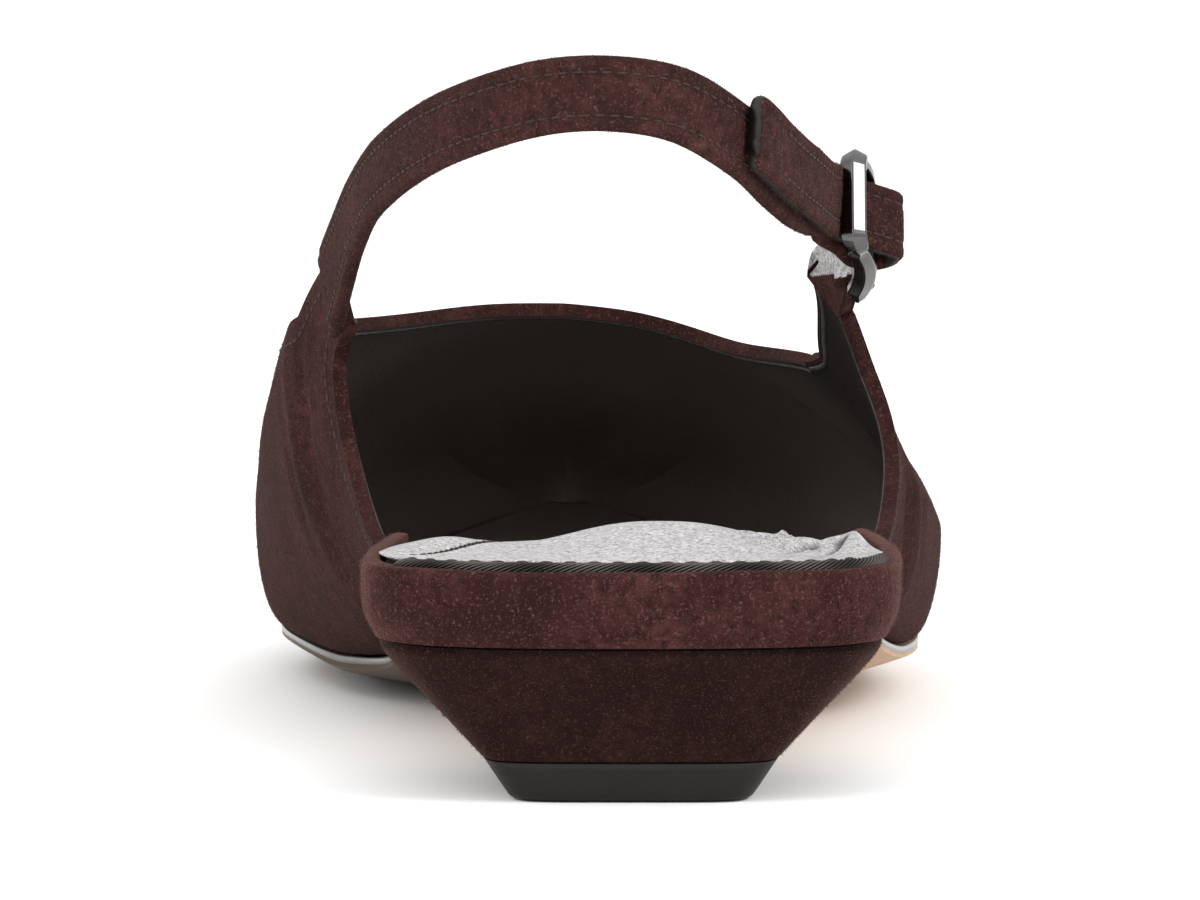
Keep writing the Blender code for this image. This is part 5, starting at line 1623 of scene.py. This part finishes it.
def build_buckle():
    """Arched frame: a rounded rear bar, two rails and a front bar, with a round middle bar."""
    side = BUCKLE_HALF_WIDTH - RAIL[0] / 2
    long_half = (BUCKLE_FRONT - BUCKLE_REAR) / 2
    middle = (BUCKLE_FRONT + BUCKLE_REAR) / 2
    path = []
    for ahead, up, start in ((1, 1, 0), (-1, 1, 90), (-1, -1, 180), (1, -1, 270)):
        angle = np.radians(np.linspace(start, start + 90, CORNER_POINTS))
        along = middle + ahead * (long_half - BUCKLE_CORNER) + BUCKLE_CORNER * np.cos(angle)
        path.append(np.column_stack((along, up * (side - BUCKLE_CORNER) + BUCKLE_CORNER * np.sin(angle))))
    path = np.concatenate(path + [path[0][:1]])
    path = even(path, BUCKLE_POINTS + 1)[:-1]
    from_middle = np.abs(path[:, 0] - middle)
    ends = from_middle / long_half
    drop = np.where(path[:, 0] < middle, BUCKLE_REAR_DROP, BUCKLE_FRONT_DROP) * ends ** 2
    tangent = unit(np.roll(path, -1, axis=0) - np.roll(path, 1, axis=0))
    rear = ramp(middle - path[:, 0], *(long_half * share for share in REAR_SHARE))
    rail = 1 - ramp(from_middle, *(long_half * share for share in RAIL_SHARE))
    breadth = (RAIL[0] + (REAR_BAR[0] - RAIL[0]) * rear)[:, None]
    depth = (RAIL[1] + (REAR_BAR[1] - RAIL[1]) * rear + RAIL_DEEPER * rail)[:, None]
    drop = drop - RAIL_DEEPER / 2 * rail
    depth = depth + REAR_WIDER * rear[:, None]
    drop = drop - (REAR_WIDER / 2 - REAR_RISE) * rear
    aside, out = (np.array(FRAME_SECTION).T[:, None, :] * np.stack((breadth, depth)) / 2)
    rings = in_buckle(path[:, :1] + tangent[:, 1:] * aside, path[:, 1:] - tangent[:, :1] * aside,
                      drop[:, None] + out)
    buckle = solid("buckle_metal_frame", rings, [GUNMETAL], "buckle_frame", closed=True)
    buckle.data.shade_flat()
    rounded(buckle, "polished_edges", width=0.14, segments=2, degrees=20)
    reach = np.linspace(-side, side, BAR_POINTS)[:, None]
    turn = circle(BAR_AROUND)[None, :]
    bar = in_buckle(MIDDLE_BAR_RADIUS * np.cos(turn) + 0 * reach, reach + 0 * turn,
                    MIDDLE_BAR_RADIUS * np.sin(turn) + 0 * reach)
    solid("buckle_middle_bar", bar, [GUNMETAL])


# Loop: points round the bar, along a leaf and across it; the point round the bar where the lining
# ends; its fuller upper corner as start and length of its rise along the leaf, length of its end
# and its power, start and length across the leaf and their power
LOOP_POINTS = 121
LEAF_POINTS = 80
LOOP_COLUMNS = 45
LINING_END = 58
CORNER_RISE = (0.25, 0.5)
CORNER_END = 0.12
CORNER_END_POWER = 0.5
CORNER_ACROSS = (0.05, 0.5)
CORNER_POWER = 2


def build_tab():
    """Loop round the buckle's front bar, its leaves closing and twisting to the finger's tip."""
    finger = last_points(*on_last(FINGER_TIP, 1).T)
    bar = in_buckle(BUCKLE_FRONT, 0, BUCKLE_FRONT_DROP)
    across = buckle_axes()[1]
    end_across = unit(finger[0] - finger[1])
    wall_in = unit(np.cross(end_across, finger.mean(axis=0) - bar))
    wall_in = wall_in * -np.sign(wall_in[0])
    end = finger.mean(axis=0) + wall_in * UPPER_WALL / 2
    way = unit(end - bar)
    end = end + way * TAB_LAP
    loop_way = unit(way - across * np.dot(way, across))
    out = np.cross(across, loop_way)
    hole = RAIL[0] / 2 + GAP
    angle = np.radians(np.linspace(TAB_MOUTH, 360 - TAB_MOUTH, LOOP_POINTS))[:, None]
    ray = loop_way * np.cos(angle) + out * np.sin(angle)
    outer = bar + ray * (hole + TAB_WALL)
    inner = bar + ray * hole
    tail_outer = []
    tail_inner = []
    for side in (-1, 1):
        mouth = math.radians(TAB_MOUTH_INSIDE) * side
        tail_outer.append(end + wall_in * TAB_LEAF * side)
        tail_inner.append(bar + (loop_way * math.cos(mouth) + out * math.sin(mouth)) * hole)
    share = np.linspace(0, 1, LEAF_POINTS)[1:, None]
    down = outer[-1] + (tail_outer[0] - outer[-1]) * share
    up = (tail_outer[1] + (outer[0] - tail_outer[1]) * share)[:-1]
    outer = np.concatenate((outer, down, up))
    inner = np.concatenate((inner, np.tile(tail_inner[0], (len(down), 1)),
                            np.tile(tail_inner[1], (len(up), 1))))
    twist = np.concatenate((np.zeros(LOOP_POINTS), np.linspace(0, 1, len(down)),
                            np.linspace(1, 0, len(up))))[:, None]
    wide = unit(across * (1 - twist) + end_across * twist)
    span = np.linspace(-TAB_WIDTH / 2, TAB_WIDTH / 2 + TAB_WIDER, LOOP_COLUMNS)[None, :, None]
    outer_rows = outer[:, None, :] + wide[:, None, :] * span
    inner_rows = inner[:, None, :] + across[None, None, :] * span[:, ::-1]
    near_end = np.clip((twist - CORNER_RISE[0]) / CORNER_RISE[1], 0, 1)
    near_end = near_end * np.clip((1.0 - twist) / CORNER_END, 0, 1) ** CORNER_END_POWER
    high = np.clip((span[:, :, 0] / TAB_WIDTH - CORNER_ACROSS[0]) / CORNER_ACROSS[1], 0, 1) ** CORNER_POWER
    outer_rows[..., 2] += TAB_CORNER * near_end * high
    rings = np.concatenate((outer_rows, inner_rows), axis=1)
    middle = rings + np.roll(rings, -1, axis=0) + np.roll(rings, -1, axis=1)
    middle = (middle + np.roll(np.roll(rings, -1, axis=0), -1, axis=1)) / 4
    low_x, low_z, slope, far_x = LOOP_LINING
    lined = (middle[..., 2] > low_z + slope * (middle[..., 0] - low_x)) & (middle[..., 0] < far_x)
    ring = np.arange(len(outer))
    lined = lined & ((ring < LINING_END) | (ring > LOOP_POINTS + len(down)))[:, None]
    solid("buckle_loop", rings, [STRAP_SUEDE, SILVER], "buckle_tab", closed=True,
          marks=lined.astype(int).ravel())


# Studio paper: half its width in metres, and points along a side
PAPER_HALF = 14.0
PAPER_POINTS = 29


def build_stage():
    """White studio paper: one wide flat grid under the shoe."""
    side = np.linspace(-PAPER_HALF, PAPER_HALF, PAPER_POINTS)
    x, y = np.meshgrid(side, side, indexing="ij")
    points = np.stack((x, y, 0 * x), axis=2).reshape(-1, 3)
    faces = quads_of(np.arange(len(points)).reshape(x.shape))
    mesh_piece("studio_paper", points, faces[:, ::-1], [PAPER])


# Light of the white room, and its soft boxes: name, place, aim, size and watts
ROOM_LIGHT = 1.16
LIGHTS = (
    ("ceiling_soft_box", (0.0, 0.5, 2.6), (0.0, 0.5, 0.0), 5.0, 36.0),
    ("left_soft_box", (-1.4, -1.2, 1.1), (0.0, -0.05, 0.04), 1.2, 13.2),
    ("right_soft_box", (1.5, -0.9, 1.2), (0.0, -0.05, 0.04), 0.8, 14.4),
    ("right_strip_box", (1.05, -0.45, 0.85), (0.02, -0.08, 0.06), 0.30, 1.9),
    ("front_soft_box", (0.0, -2.2, 0.85), (0.0, -0.05, 0.04), 1.2, 10.0),
)


def build_light():
    """A white room and the soft boxes, each turned from its place to its aim."""
    world = bpy.data.worlds.new("studio")
    world.use_nodes = True
    background = world.node_tree.nodes["Background"]
    background.inputs["Color"].default_value = (1.0, 1.0, 1.0, 1.0)
    background.inputs["Strength"].default_value = ROOM_LIGHT
    bpy.context.scene.world = world
    for name, place, aim, size, watts in LIGHTS:
        lamp = bpy.data.lights.new(name, "AREA")
        lamp.energy = watts
        lamp.size = size
        light = bpy.data.objects.new(name, lamp)
        light.location = place
        way = np.array(aim) - np.array(place)
        tilt = math.acos(-way[2] / np.linalg.norm(way))
        light.rotation_euler = (tilt, 0.0, math.atan2(way[1], way[0]) - math.pi / 2)
        bpy.context.collection.objects.link(light)


# Camera, in the shoe's millimetres and in degrees; its focal length in pixels of the photo's frame
CAMERA_BACK = 1130.0
CAMERA_HEIGHT = 122.0
CAMERA_FOCAL = 10651.0
CAMERA_PITCH = 4.221
CAMERA_YAW = 0.167
FRAME_WIDTH = 1200
SENSOR = 36.0


def build_camera():
    """Camera low behind the heel, as the photo was taken."""
    lens = bpy.data.cameras.new("photo_view")
    lens.sensor_width = SENSOR
    lens.lens = CAMERA_FOCAL / FRAME_WIDTH * SENSOR
    lens.clip_end = 50.0
    camera = bpy.data.objects.new("photo_view", lens)
    camera.location = placed((0.0, -CAMERA_BACK, CAMERA_HEIGHT))[0]
    camera.rotation_euler = (math.radians(90 - CAMERA_PITCH), 0.0, math.radians(CAMERA_YAW))
    bpy.context.collection.objects.link(camera)
    bpy.context.scene.camera = camera


bpy.context.scene.view_settings.view_transform = "Standard"
wall, strips = build_upper()
sewn("upper_stitches", upper_seams(wall, strips))
build_lining_lip(wall, strips)
nap("upper_nap", [(grid, grid_normals(grid)) for grid in (wall, strips[0][1], strips[1][1])],
    "upper_suede", per_mm2=1.9, seed=14)
build_heel()
build_top_piece()
build_rand()
build_seat_welt()
build_outsole()
build_insole()
build_sock()
build_sling()
build_buckle()
build_tab()
build_stage()
build_light()
build_camera()
